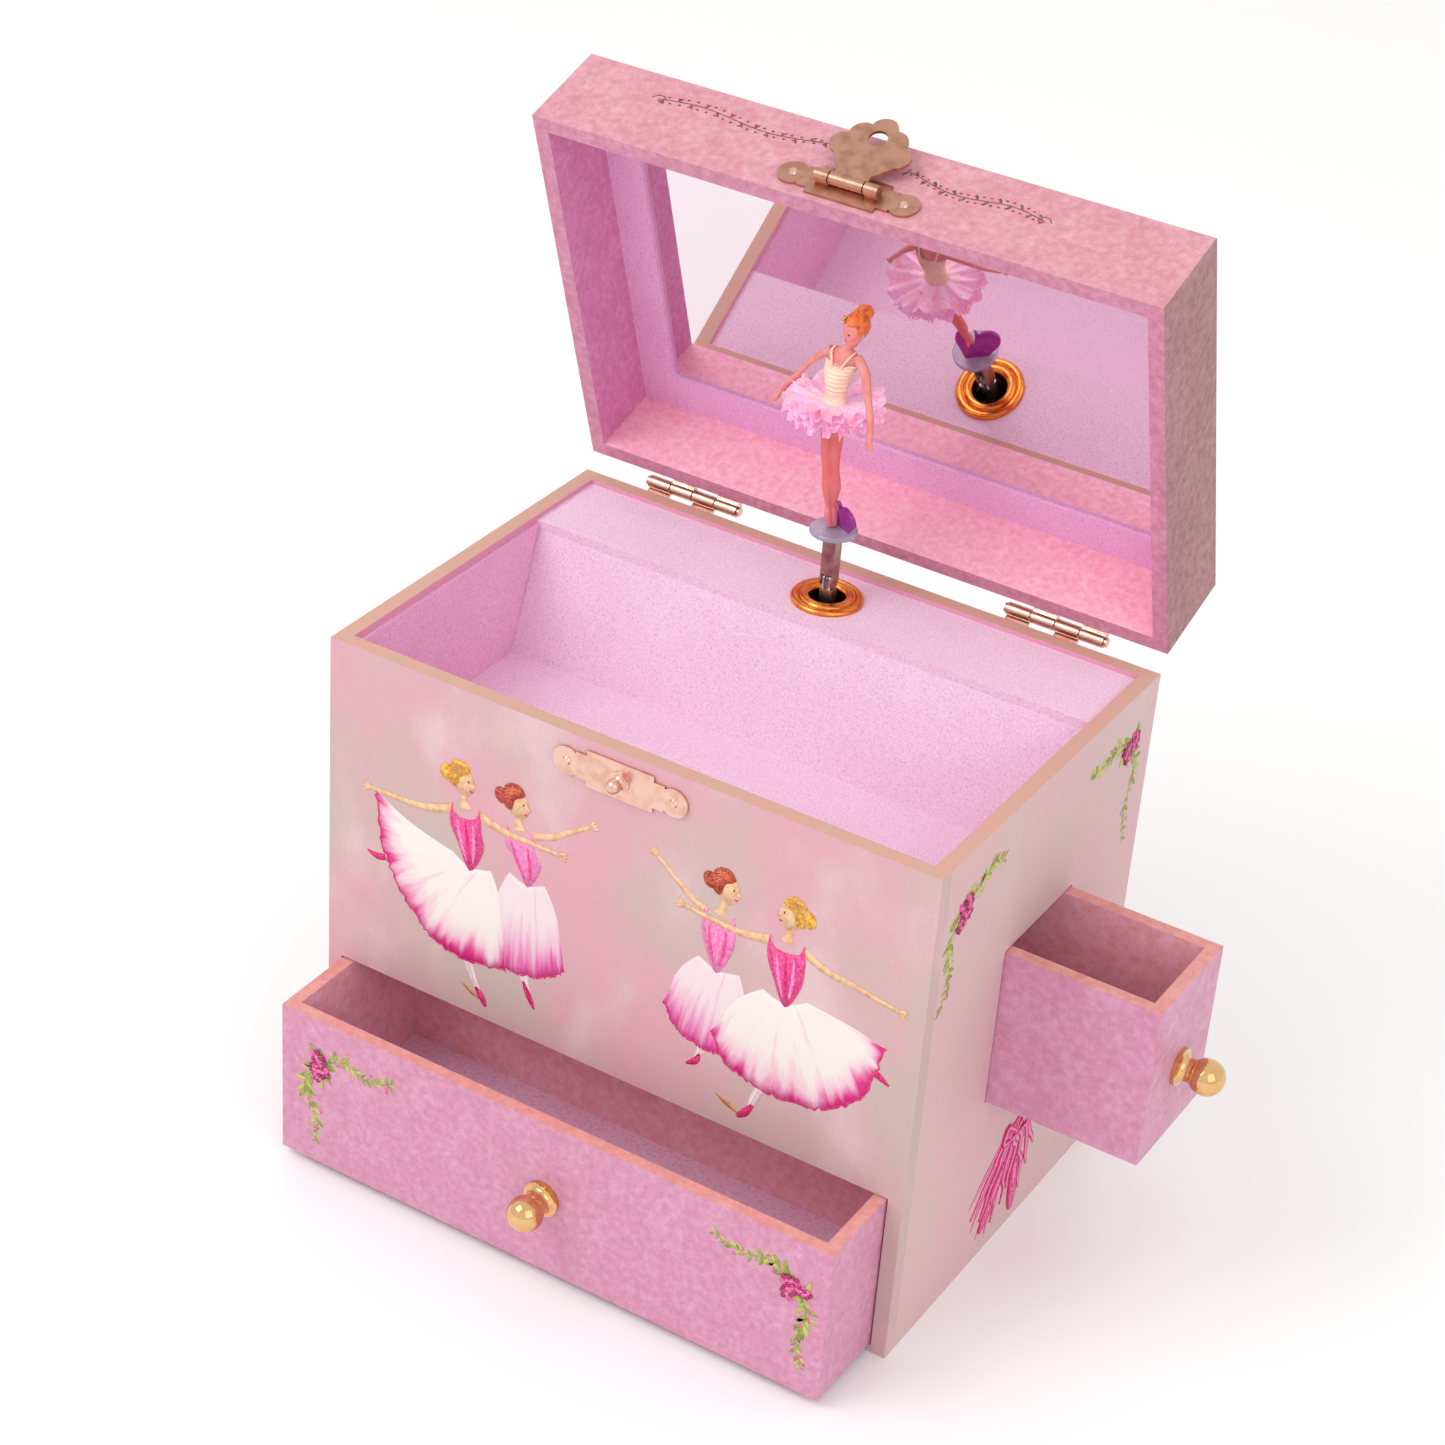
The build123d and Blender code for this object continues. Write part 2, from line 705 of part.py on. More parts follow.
front_knob_plane = Plane(origin=(0, front_drawer_y0, front_knob_z), x_dir=(1, 0, 0), z_dir=(0, -1, 0))
with BuildPart() as front_drawer_knob:
    with BuildSketch(Plane(origin=front_knob_plane.origin, x_dir=(1, 0, 0), z_dir=(0, 0, -1))):
        knob_profile()
    revolve(axis=Axis(front_knob_plane.origin, (0, -1, 0)))
front_drawer_knob.part.label = "front_drawer_knob"
export_step(front_drawer_knob.part, "parts/front_drawer_knob.step")

with BuildPart() as front_drawer_knob_screw:
    knob_screw(front_knob_plane, drawer_board)
front_drawer_knob_screw.part.label = "front_drawer_knob_screw"
export_step(front_drawer_knob_screw.part, "parts/front_drawer_knob_screw.step")

side_drawer_l = 66.0
side_drawer_x1 = half_w + side_drawer_out
side_drawer_x0 = side_drawer_x1 - side_drawer_l
side_knob_y = (side_drawer_y0 + side_drawer_y1) / 2
side_knob_z = 65.0
with BuildPart() as side_drawer_front:
    with BuildSketch(facing_right(side_drawer_x1)):
        rect((side_drawer_y0, side_drawer_z0), (side_drawer_y1, side_drawer_z1))
        with Locations((side_knob_y, side_knob_z)):
            Circle(knob_screw_r + 0.1, mode=Mode.SUBTRACT)
    extrude(amount=-drawer_board)
side_drawer_front.part.label = "side_drawer_front"
export_step(side_drawer_front.part, "parts/side_drawer_front.step")

with BuildPart() as side_drawer_walls:
    with BuildSketch(level(side_drawer_z0 + drawer_base_t)):
        rect((side_drawer_x0, side_drawer_y0), (side_drawer_x1 - drawer_board, side_drawer_y1))
        rect(
            (side_drawer_x0 + drawer_board, side_drawer_y0 + drawer_board),
            (side_drawer_x1 - drawer_board, side_drawer_y1 - drawer_board),
            mode=Mode.SUBTRACT,
        )
    extrude(amount=side_drawer_z1 - side_drawer_z0 - drawer_base_t)
side_drawer_walls.part.label = "side_drawer_walls"
export_step(side_drawer_walls.part, "parts/side_drawer_walls.step")

with BuildPart() as side_drawer_base:
    with BuildSketch(level(side_drawer_z0)):
        rect((side_drawer_x0, side_drawer_y0), (side_drawer_x1 - drawer_board, side_drawer_y1))
    extrude(amount=drawer_base_t)
side_drawer_base.part.label = "side_drawer_base"
export_step(side_drawer_base.part, "parts/side_drawer_base.step")

with BuildPart() as side_drawer_liner:
    with BuildSketch(level(side_drawer_z0 + drawer_base_t)):
        rect(
            (side_drawer_x0 + drawer_board, side_drawer_y0 + drawer_board),
            (side_drawer_x1 - drawer_board, side_drawer_y1 - drawer_board),
        )
    extrude(amount=drawer_liner_t)
side_drawer_liner.part.label = "side_drawer_liner"
export_step(side_drawer_liner.part, "parts/side_drawer_liner.step")

side_knob_plane = Plane(origin=(side_drawer_x1, side_knob_y, side_knob_z), x_dir=(0, 1, 0), z_dir=(1, 0, 0))
with BuildPart() as side_drawer_knob:
    with BuildSketch(Plane(origin=side_knob_plane.origin, x_dir=(0, 1, 0), z_dir=(0, 0, -1))):
        knob_profile()
    revolve(axis=Axis(side_knob_plane.origin, (1, 0, 0)))
side_drawer_knob.part.label = "side_drawer_knob"
export_step(side_drawer_knob.part, "parts/side_drawer_knob.step")

with BuildPart() as side_drawer_knob_screw:
    knob_screw(side_knob_plane, drawer_board)
side_drawer_knob_screw.part.label = "side_drawer_knob_screw"
export_step(side_drawer_knob_screw.part, "parts/side_drawer_knob_screw.step")

# ---------------------------------------------------------------- gears
barrel_teeth = 36
pinion_teeth = 12
crown_r = 12.5                     # pitch circle of the barrel's face teeth
crown_module = 2 * crown_r / barrel_teeth
pinion_r = crown_module * pinion_teeth / 2
wheel_teeth = 32
train_module = 0.5
wheel_r = train_module * wheel_teeth / 2
small_r = train_module * pinion_teeth / 2
train_step = wheel_r + small_r     # distance between two axes of the governor's train


def gear_face(teeth, pitch_r, module, turn=0.0):
    """Draw a spur wheel in the open sketch. Its teeth are straight-flanked and thin, for free running."""
    root_r = pitch_r - 1.2 * module
    tip_r = pitch_r + 0.8 * module
    root_half = 0.62 * module
    tip_half = 0.24 * module
    flank = ((root_r, -root_half), (tip_r, -tip_half), (tip_r, tip_half), (root_r, root_half))
    corners = []
    for tooth in range(teeth):
        middle = radians(turn) + 2 * pi * tooth / teeth
        for radius, half in flank:
            angle = middle + half / radius
            corners.append((radius * cos(angle), radius * sin(angle)))
    with BuildLine() as outline:
        Polyline(*corners, close=True)
    make_face(outline.edges())


def crosswise(x, z=barrel_z, y=spindle_y):
    """A plane across an axle that lies along X."""
    return Plane(origin=(x, y, z), x_dir=(0, 1, 0), z_dir=(1, 0, 0))


# ---------------------------------------------------------------- movement: bedplate and bearings
plate_y = 43.2                     # front face of the bedplate, which stands against the back wall
bed_x0 = -17.0
bed_x1 = 64.0
bed_z0 = 61.0
bed_z1 = 117.5
arbor_r = 2.0
spindle_rod_r = 1.6
axle_r = 1.2
fine_axle_r = 0.8
drum_x0 = 17.0
drum_x1 = 49.0
comb_y = spindle_y - 0.5
comb_t = 1.0
comb_z0 = 64.0
comb_root_z = 71.0
pin_tip_r = 6.75
comb_screw_x = (20.0, 33.0, 46.0)
comb_screw_z = 67.0
comb_screw_r = 0.8
arbor_boss_r = 4.5
arbor_boss_y = 31.5
spindle_bearings = ((95.5, 97.5), (112.0, 114.5))
cylinder_bearings = ((6.6, 8.8, 3.2), (56.5, 58.7, 2.3))


def bearing_arm(low, high):
    """Add a square arm that stands out of the bedplate to the open part, between two (x, z) corners."""
    with BuildSketch(facing_front(plate_y)) as section:
        rect(low, high)
    extrude(section.sketch, amount=plate_y - spindle_y + 3.2)


with BuildPart() as movement_bedplate:
    with BuildSketch(facing_front(inner_y)):
        rect((bed_x0, bed_z0), (bed_x1, bed_z1))
        with Locations(*back_screw_places):
            Circle(back_screw_r + 0.02, mode=Mode.SUBTRACT)
    extrude(amount=inner_y - plate_y)
    with BuildSketch(facing_front(plate_y)):
        with Locations((0, barrel_z)):
            Circle(arbor_boss_r)
    extrude(amount=plate_y - arbor_boss_y)
    for z_low, z_high in spindle_bearings:
        bearing_arm((-arbor_boss_r, z_low), (arbor_boss_r, z_high))
    for x_low, x_high, half in cylinder_bearings:
        bearing_arm((x_low, barrel_z - half), (x_high, barrel_z + half))
    with BuildSketch(facing_front(plate_y)):
        rect((drum_x0, comb_z0 - 1), (drum_x1, comb_root_z))
    extrude(amount=plate_y - comb_y - comb_t)
    with BuildSketch(facing_front(inner_y)):
        with Locations((0, barrel_z)):
            Circle(arbor_r + running_fit)
    extrude(amount=inner_y - 30, mode=Mode.SUBTRACT)
    with BuildSketch(level(95)):
        with Locations((0, spindle_y)):
            Circle(spindle_rod_r + running_fit)
    extrude(amount=20, mode=Mode.SUBTRACT)
    with BuildSketch(crosswise(6)):
        Circle(axle_r + running_fit)
    extrude(amount=54, mode=Mode.SUBTRACT)
    with BuildSketch(facing_front(plate_y - 2)):
        with Locations(*[(x, comb_screw_z) for x in comb_screw_x]):
            Circle(comb_screw_r + 0.02)
    extrude(amount=10, mode=Mode.SUBTRACT)
movement_bedplate.part.label = "movement_bedplate"
export_step(movement_bedplate.part, "parts/movement_bedplate.step")

# Three screws through the back wall hold the bedplate, and three short ones hold the comb.
with BuildPart() as movement_screws:
    with BuildSketch(back_face_out):
        with Locations(*[(-x, z) for x, z in back_screw_places]):
            Circle(2.4)
    extrude(amount=1.2, taper=25)
    with BuildSketch(back_face_out):
        with Locations(*[(-x, z) for x, z in back_screw_places]):
            Circle(back_screw_r)
    extrude(amount=-board - 2.3)
    with BuildSketch(facing_front(comb_y)):
        with Locations(*[(x, comb_screw_z) for x in comb_screw_x]):
            Circle(1.7)
    extrude(amount=1.0)
    with BuildSketch(facing_front(comb_y)):
        with Locations(*[(x, comb_screw_z) for x in comb_screw_x]):
            Circle(comb_screw_r)
    extrude(amount=-5)
movement_screws.part.label = "movement_screws"
export_step(movement_screws.part, "parts/movement_screws.step")

notes = 18
comb_pitch = (drum_x1 - drum_x0 - 2.0) / notes
with BuildPart() as tone_comb:
    with BuildSketch(facing_front(comb_y)):
        rect((drum_x0 + 0.5, comb_z0), (drum_x1 - 0.5, barrel_z - pin_tip_r - 0.5))
        for note in range(notes + 1):
            x = drum_x0 + 1.0 + comb_pitch * note
            rect((x - 0.22, comb_root_z + 0.15 * note), (x + 0.22, barrel_z), mode=Mode.SUBTRACT)
        with Locations(*[(x, comb_screw_z) for x in comb_screw_x]):
            Circle(comb_screw_r + 0.1, mode=Mode.SUBTRACT)
    extrude(amount=-comb_t)
tone_comb.part.label = "tone_comb"
export_step(tone_comb.part, "parts/tone_comb.step")

# ---------------------------------------------------------------- movement: spring barrel
crown_y = spindle_y - pinion_r     # pitch plane of the barrel's face teeth
barrel_front_y = 19.6
barrel_back_y = crown_y - 1.2 * crown_module
barrel_r = 14.1
barrel_wall = 1.4
spring_w = 5.6
face_teeth_r = 10.9                # inner end of the face teeth
face_teeth_l = 3.1
with BuildPart() as spring_barrel:
    with BuildSketch(facing_front(barrel_back_y)):
        with Locations((0, barrel_z)):
            Circle(barrel_r)
    extrude(amount=barrel_back_y - barrel_front_y)
    with BuildSketch(facing_front(barrel_back_y - barrel_wall)):
        with Locations((0, barrel_z)):
            Circle(barrel_r - barrel_wall)
    extrude(amount=spring_w + 0.6, mode=Mode.SUBTRACT)
    with BuildSketch(facing_front(barrel_back_y)):
        with Locations((0, barrel_z)):
            Circle(arbor_r + running_fit)
    extrude(amount=20, mode=Mode.SUBTRACT)
    for tooth in range(barrel_teeth):
        turn = 2 * pi * tooth / barrel_teeth
        tooth_plane = Plane(
            origin=(face_teeth_r * cos(turn), barrel_back_y, barrel_z + face_teeth_r * sin(turn)),
            x_dir=(-sin(turn), 0, cos(turn)),
            z_dir=(cos(turn), 0, sin(turn)),
        )
        with BuildSketch(tooth_plane):
            with BuildLine():
                Polyline(
                    (-0.45, 0.3),
                    (-0.2, -2.0 * crown_module),
                    (0.2, -2.0 * crown_module),
                    (0.45, 0.3),
                    close=True,
                )
            make_face()
        extrude(amount=face_teeth_l)
spring_barrel.part.label = "spring_barrel"
export_step(spring_barrel.part, "parts/spring_barrel.step")

spring_t = 0.35
spring_turns = 7
spring_r0 = 2.6
spring_r1 = 12.2
spring_at = (0, barrel_back_y - barrel_wall - 0.3, barrel_z)


def spiral(shift):
    """Points of the mainspring's spiral, moved out by shift."""
    points = []
    for step in range(spring_turns * 8 + 1):
        angle = 2 * pi * step / 8
        radius = spring_r0 + (spring_r1 - spring_r0) * step / (spring_turns * 8) + shift
        points.append((radius * cos(angle), radius * sin(angle)))
    return points


with BuildPart() as mainspring:
    with BuildSketch(Plane(origin=spring_at, x_dir=(1, 0, 0), z_dir=(0, -1, 0))):
        with BuildLine():
            inner_side = Spline(*spiral(-spring_t / 2))
            outer_side = Spline(*spiral(spring_t / 2))
            Line(inner_side @ 0, outer_side @ 0)
            Line(inner_side @ 1, outer_side @ 1)
        make_face()
    extrude(amount=spring_w)
mainspring.part.label = "mainspring"
export_step(mainspring.part, "parts/mainspring.step")

# ---------------------------------------------------------------- movement: winding arbor and key
key_hub_y = half_d + 0.5
key_socket = 5.0
key_hub_l = 8.5
bow_y = key_hub_y + 10.5
with BuildPart() as winding_arbor:
    with BuildSketch(facing_front(key_hub_y + key_socket)):
        with Locations((0, barrel_z)):
            Circle(arbor_r)
    extrude(amount=key_hub_y + key_socket - barrel_front_y + 0.9)
    with BuildSketch(facing_front(barrel_front_y - 0.3)):
        with Locations((0, barrel_z)):
            Circle(3.2)
    extrude(amount=0.7)
winding_arbor.part.label = "winding_arbor"
export_step(winding_arbor.part, "parts/winding_arbor.step")

with BuildPart() as winding_key:
    with BuildSketch(facing_front(key_hub_y)):
        with Locations((0, barrel_z)):
            Circle(2.9)
    extrude(amount=-key_hub_l)
    with BuildSketch(level(barrel_z - 0.7)):
        with Locations((-5.6, bow_y), (5.6, bow_y)):
            Ellipse(5.6, 4.6)
        rect((-2.4, bow_y - 4.0), (2.4, bow_y + 2.5))
        with Locations((-6.2, bow_y + 0.2), (6.2, bow_y + 0.2)):
            Ellipse(2.9, 2.1, mode=Mode.SUBTRACT)
    extrude(amount=1.4)
    with BuildSketch(facing_front(key_hub_y)):
        with Locations((0, barrel_z)):
            Circle(arbor_r)
    extrude(amount=-key_socket, mode=Mode.SUBTRACT)
winding_key.part.label = "winding_key"
export_step(winding_key.part, "parts/winding_key.step")

# ---------------------------------------------------------------- movement: pinned cylinder
drum_r = 6.2
wheel_x = 50.0
wheel_t = 1.6
train_x = 53.5                     # plane of the second gear pair
tooth_turn = 180 / pinion_teeth    # puts a gap, not a tooth, on the line to the driving wheel
with BuildPart() as pinned_cylinder:
    with BuildSketch(crosswise(6.3)):
        Circle(axle_r)
    extrude(amount=52.8)
    with BuildSketch(crosswise(face_teeth_r)):
        gear_face(pinion_teeth, pinion_r, crown_module, tooth_turn)
    extrude(amount=face_teeth_l)
    with BuildSketch(crosswise(drum_x0)):
        Circle(drum_r)
    extrude(amount=drum_x1 - drum_x0)
    for note in range(notes):
        x = drum_x0 + 1.0 + comb_pitch * (note + 0.5) - 0.2
        with BuildSketch(crosswise(x)):
            with PolarLocations(drum_r + 0.1, 3, start_angle=47 * note):
                Rectangle(2 * (pin_tip_r - drum_r - 0.1), 0.35)
        extrude(amount=0.4)
    with BuildSketch(crosswise(wheel_x)):
        gear_face(wheel_teeth, wheel_r, train_module)
    extrude(amount=wheel_t)
pinned_cylinder.part.label = "pinned_cylinder"
export_step(pinned_cylinder.part, "parts/pinned_cylinder.step")

# ---------------------------------------------------------------- movement: governor
governor_x0 = 46.6
governor_x1 = 66.4
governor_t = 1.2
governor_half = 3.0
governor_over = 3.5
governor_foot = 1.2
wheel_axis_z = barrel_z + train_step
fan_axis_z = wheel_axis_z + train_step
with BuildPart() as governor_frame:
    for x in (governor_x0, governor_x1):
        with BuildSketch(facing_right(x)):
            rect(
                (spindle_y - governor_half, wheel_axis_z - governor_half),
                (spindle_y + governor_half, fan_axis_z + governor_over),
            )
            rect((spindle_y, fan_axis_z - governor_foot), (plate_y, fan_axis_z + governor_over))
            with Locations((spindle_y, wheel_axis_z), (spindle_y, fan_axis_z)):
                Circle(fine_axle_r + running_fit, mode=Mode.SUBTRACT)
        extrude(amount=governor_t)
    with BuildSketch(facing_front(plate_y)):
        rect(
            (governor_x0, fan_axis_z - governor_foot),
            (governor_x1 + governor_t, fan_axis_z + governor_over),
        )
    extrude(amount=governor_t)
governor_frame.part.label = "governor_frame"
export_step(governor_frame.part, "parts/governor_frame.step")

with BuildPart() as governor_wheel:
    with BuildSketch(crosswise(governor_x0, wheel_axis_z)):
        Circle(fine_axle_r)
    extrude(amount=governor_x1 + governor_t - governor_x0)
    with BuildSketch(crosswise(wheel_x, wheel_axis_z)):
        gear_face(pinion_teeth, small_r, train_module, -90 + tooth_turn)
    extrude(amount=wheel_t)
    with BuildSketch(crosswise(train_x, wheel_axis_z)):
        gear_face(wheel_teeth, wheel_r, train_module)
    extrude(amount=wheel_t)
governor_wheel.part.label = "governor_wheel"
export_step(governor_wheel.part, "parts/governor_wheel.step")

fan_r = 5.2
fan_x = 58.5
fan_w = 5.5
fan_hub_r = 1.7
fan_t = 0.8
with BuildPart() as governor_fan:
    with BuildSketch(crosswise(governor_x0, fan_axis_z)):
        Circle(fine_axle_r)
    extrude(amount=governor_x1 + governor_t - governor_x0)
    with BuildSketch(crosswise(train_x, fan_axis_z)):
        gear_face(pinion_teeth, small_r, train_module, -90 + tooth_turn)
    extrude(amount=wheel_t)
    with BuildSketch(crosswise(fan_x, fan_axis_z)):
        Circle(fan_hub_r)
        Rectangle(2 * fan_r, fan_t)
    extrude(amount=fan_w)
governor_fan.part.label = "governor_fan"
export_step(governor_fan.part, "parts/governor_fan.step")

# ---------------------------------------------------------------- spindle and folding joint
fold_pin_r = 0.4
cheek_out = 1.6                    # half the folding post's width
cheek_in = 1.2
tongue_out = 1.05
tongue_in = 0.6
tongue_r = 1.2
post_front = -1.55
post_back = 1.55
head_top = fold_z - 2.0
spindle_foot_z = 95.0
spindle_rod_l = 24.0
collar_z = 114.8
collar_r = 3.2
collar_t = 1.4
post_foot_z = 116.0
with BuildPart() as spindle:
    with BuildSketch(level(spindle_foot_z)):
        with Locations((0, spindle_y)):
            Circle(spindle_rod_r)
    extrude(amount=spindle_rod_l)
    with BuildSketch(Plane(origin=(0, spindle_y, barrel_z + face_teeth_r), x_dir=(1, 0, 0), z_dir=(0, 0, 1))):
        gear_face(pinion_teeth, pinion_r, crown_module, tooth_turn)
    extrude(amount=face_teeth_l)
    with BuildSketch(level(collar_z)):
        with Locations((0, spindle_y)):
            Circle(collar_r)
    extrude(amount=collar_t)
    with BuildSketch(level(post_foot_z)):
        with Locations((0, spindle_y)):
            RectangleRounded(2 * cheek_out, post_back - post_front, 0.6)
    extrude(amount=head_top - post_foot_z)
    for x in (-tongue_out, tongue_in):
        with BuildSketch(facing_right(x)):
            rect((spindle_y - tongue_r, head_top - 0.5), (spindle_y + tongue_r, fold_z))
            with Locations((spindle_y, fold_z)):
                Circle(tongue_r)
                Circle(fold_pin_r, mode=Mode.SUBTRACT)
        extrude(amount=tongue_out - tongue_in)
spindle.part.label = "spindle"
export_step(spindle.part, "parts/spindle.step")

with BuildPart() as fold_pin:
    with BuildSketch(facing_right(-cheek_out - 0.1)):
        with Locations((spindle_y, fold_z)):
            Circle(fold_pin_r)
    extrude(amount=2 * cheek_out + 0.2)
fold_pin.part.label = "fold_pin"
export_step(fold_pin.part, "parts/fold_pin.step")

# Torsion spring between the two ears of the spindle: it raises the figure as the lid opens.
spring_wire_r = 0.1
coil_r = 0.75
coil_pitch = 0.24
coil_l = 0.72
with BuildPart() as fold_spring:
    with BuildLine():
        coil = Helix(coil_pitch, coil_l, coil_r, center=(-coil_l / 2, spindle_y, fold_z), direction=(1, 0, 0))
    with BuildSketch(Plane(origin=coil @ 0, z_dir=coil % 0)):
        Circle(spring_wire_r)
    sweep(is_frenet=True)
fold_spring.part.label = "fold_spring"
export_step(fold_spring.part, "parts/fold_spring.step")

# ---------------------------------------------------------------- folding post and figure
disc_z = 141.2
disc_t = 1.0
disc_r = 5.4
cheek_round = 1.65
web_low = fold_z + 1.5            # the front web ends above the joint, to clear the spindle as it folds
web_t = 0.4
with BuildPart() as folding_post:
    for x in (-cheek_out, cheek_in):
        with BuildSketch(facing_right(x)):
            rect((spindle_y + post_front, fold_z), (spindle_y + post_back, disc_z))
            with Locations((spindle_y, fold_z)):
                Circle(cheek_round)
                Circle(fold_pin_r + running_fit, mode=Mode.SUBTRACT)
        extrude(amount=cheek_out - cheek_in)
    with BuildSketch(level(web_low)):
        rect((-cheek_out, spindle_y + post_front), (cheek_out, spindle_y + post_front + web_t))
    extrude(amount=disc_z - web_low)
    with BuildSketch(level(disc_z - 1.0)):
        rect((-cheek_out, spindle_y + post_front), (cheek_out, spindle_y + post_back))
    extrude(amount=1.0)
folding_post.part.label = "folding_post"
export_step(folding_post.part, "parts/folding_post.step")

with BuildPart() as figure_disc:
    with BuildSketch(level(disc_z)):
        with Locations((0, spindle_y)):
            Circle(disc_r)
    extrude(amount=disc_t)
    chamfer(figure_disc.edges().group_by(Axis.Z)[-1], 0.3)
figure_disc.part.label = "figure_disc"
export_step(figure_disc.part, "parts/figure_disc.step")

foot_z = disc_z + disc_t
hip_z = 168.4
waist_z = 174.0
bust_z = 178.6
shoulder_z = 183.8
chin_z = 186.4
head_z = 189.6


def limb(points, radii):
    """Add round, tapering stretches through the points to the open part, with a ball at each joint."""
    for start, end, r0, r1 in zip(points, points[1:], radii, radii[1:]):
        along = Vector(*end) - Vector(*start)
        with BuildSketch(Plane(origin=start, z_dir=along)) as near_end:
            Circle(r0)
        with BuildSketch(Plane(origin=end, z_dir=along)) as far_end:
            Circle(r1)
        loft([near_end.sketch, far_end.sketch])
        with Locations(end):
            Sphere(r1)


arm_radii = [1.4, 1.4, 1.1, 0.8]
left_arm = [
    (-1.0, spindle_y, 182.6),
    (-4.2, spindle_y, 183.2),
    (-10.4, spindle_y, 177.0),
    (-16.3, spindle_y - 1.5, 170.4),
]
right_arm = [
    (1.0, spindle_y, 182.6),
    (4.2, spindle_y, 183.2),
    (7.7, spindle_y - 2.8, 176.4),
    (10.8, spindle_y - 7.4, 169.9),
]
upright = Plane(origin=(0, spindle_y, 0), x_dir=(1, 0, 0), z_dir=(0, -1, 0))
with BuildPart() as ballerina_figure:
    with BuildSketch(upright):
        with BuildLine():
            Polyline(
                (0, foot_z),
                (1.2, foot_z),
                (1.0, foot_z + 3),
                (1.9, foot_z + 13.8),
                (2.4, hip_z - 1.0),
                (3.2, hip_z + 2),
            )
            Spline((3.2, hip_z + 2), (2.3, waist_z), (3.1, bust_z), (2.2, shoulder_z))
            Polyline(
                (2.2, shoulder_z),
                (1.1, shoulder_z + 0.6),
                (1.1, chin_z + 1),
                (0, chin_z + 1),
                (0, foot_z),
            )
        make_face()
    revolve(axis=Axis((0, spindle_y, 0), (0, 0, 1)))
    with Locations((0, spindle_y - 0.6, head_z)):
        Sphere(3.1)
    with Locations((0, spindle_y + 1.6, head_z + 3.2)):
        Sphere(2.3)
    limb(left_arm, arm_radii)
    limb(right_arm, arm_radii)
ballerina_figure.part.label = "ballerina_figure"
export_step(ballerina_figure.part, "parts/ballerina_figure.step")

# A heart of sheet plastic stands aslant behind the foot. Its point is cut off level with the disc.
heart_t = 0.8
heart_lobe_r = 2.75
heart_lobe_x = 2.5
heart_lobe_h = 9.6
heart_side = (5.05, 8.5)           # where a lobe runs into the straight side
heart_turn = -26
heart_lean = 16
heart_tilt = 18
heart_point = Pos(0.1, spindle_y + 3.1, foot_z - 3.9)
heart_stance = heart_point * Rot(0, 0, heart_turn) * Rot(heart_lean, 0, 0) * Rot(0, heart_tilt, 0)
with BuildPart() as heart_plate:
    with BuildSketch(Plane(heart_stance * Plane.XZ.location)):
        with Locations((-heart_lobe_x, heart_lobe_h), (heart_lobe_x, heart_lobe_h)):
            Circle(heart_lobe_r)
        with BuildLine():
            Polyline(
                (0, 0),
                heart_side,
                (0, heart_lobe_h + 0.8),
                (-heart_side[0], heart_side[1]),
                close=True,
            )
        make_face()
    extrude(amount=heart_t / 2, both=True)
    with BuildSketch(level(foot_z)):
        with Locations((0, spindle_y)):
            Rectangle(20, 20)
    extrude(amount=-6, mode=Mode.SUBTRACT)
    add(ballerina_figure.part, mode=Mode.SUBTRACT)
heart_plate.part.label = "heart_plate"
export_step(heart_plate.part, "parts/heart_plate.step")

# The tutu is a soft ruffled ring round the hips. Its hole clears the figure.
tutu_r = 11.8
tutu_z = 169.4
tutu_hole_r = 3.35
hem_start = tutu_r - 1.4
with BuildPart() as tutu:
    with BuildSketch(upright):
        with BuildLine():
            Polyline((tutu_hole_r, tutu_z - 1.6), (tutu_hole_r, tutu_z + 3.2), (hem_start, tutu_z + 1.5))
            ThreePointArc((hem_start, tutu_z + 1.5), (tutu_r, tutu_z), (hem_start, tutu_z - 1.5))
            Line((hem_start, tutu_z - 1.5), (tutu_hole_r, tutu_z - 1.6))
        make_face()
    revolve(axis=Axis((0, spindle_y, 0), (0, 0, 1)))
tutu.part.label = "tutu"
export_step(tutu.part, "parts/tutu.step")
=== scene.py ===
import json
import math
import random

import bmesh
import bpy
from mathutils import Matrix, Vector


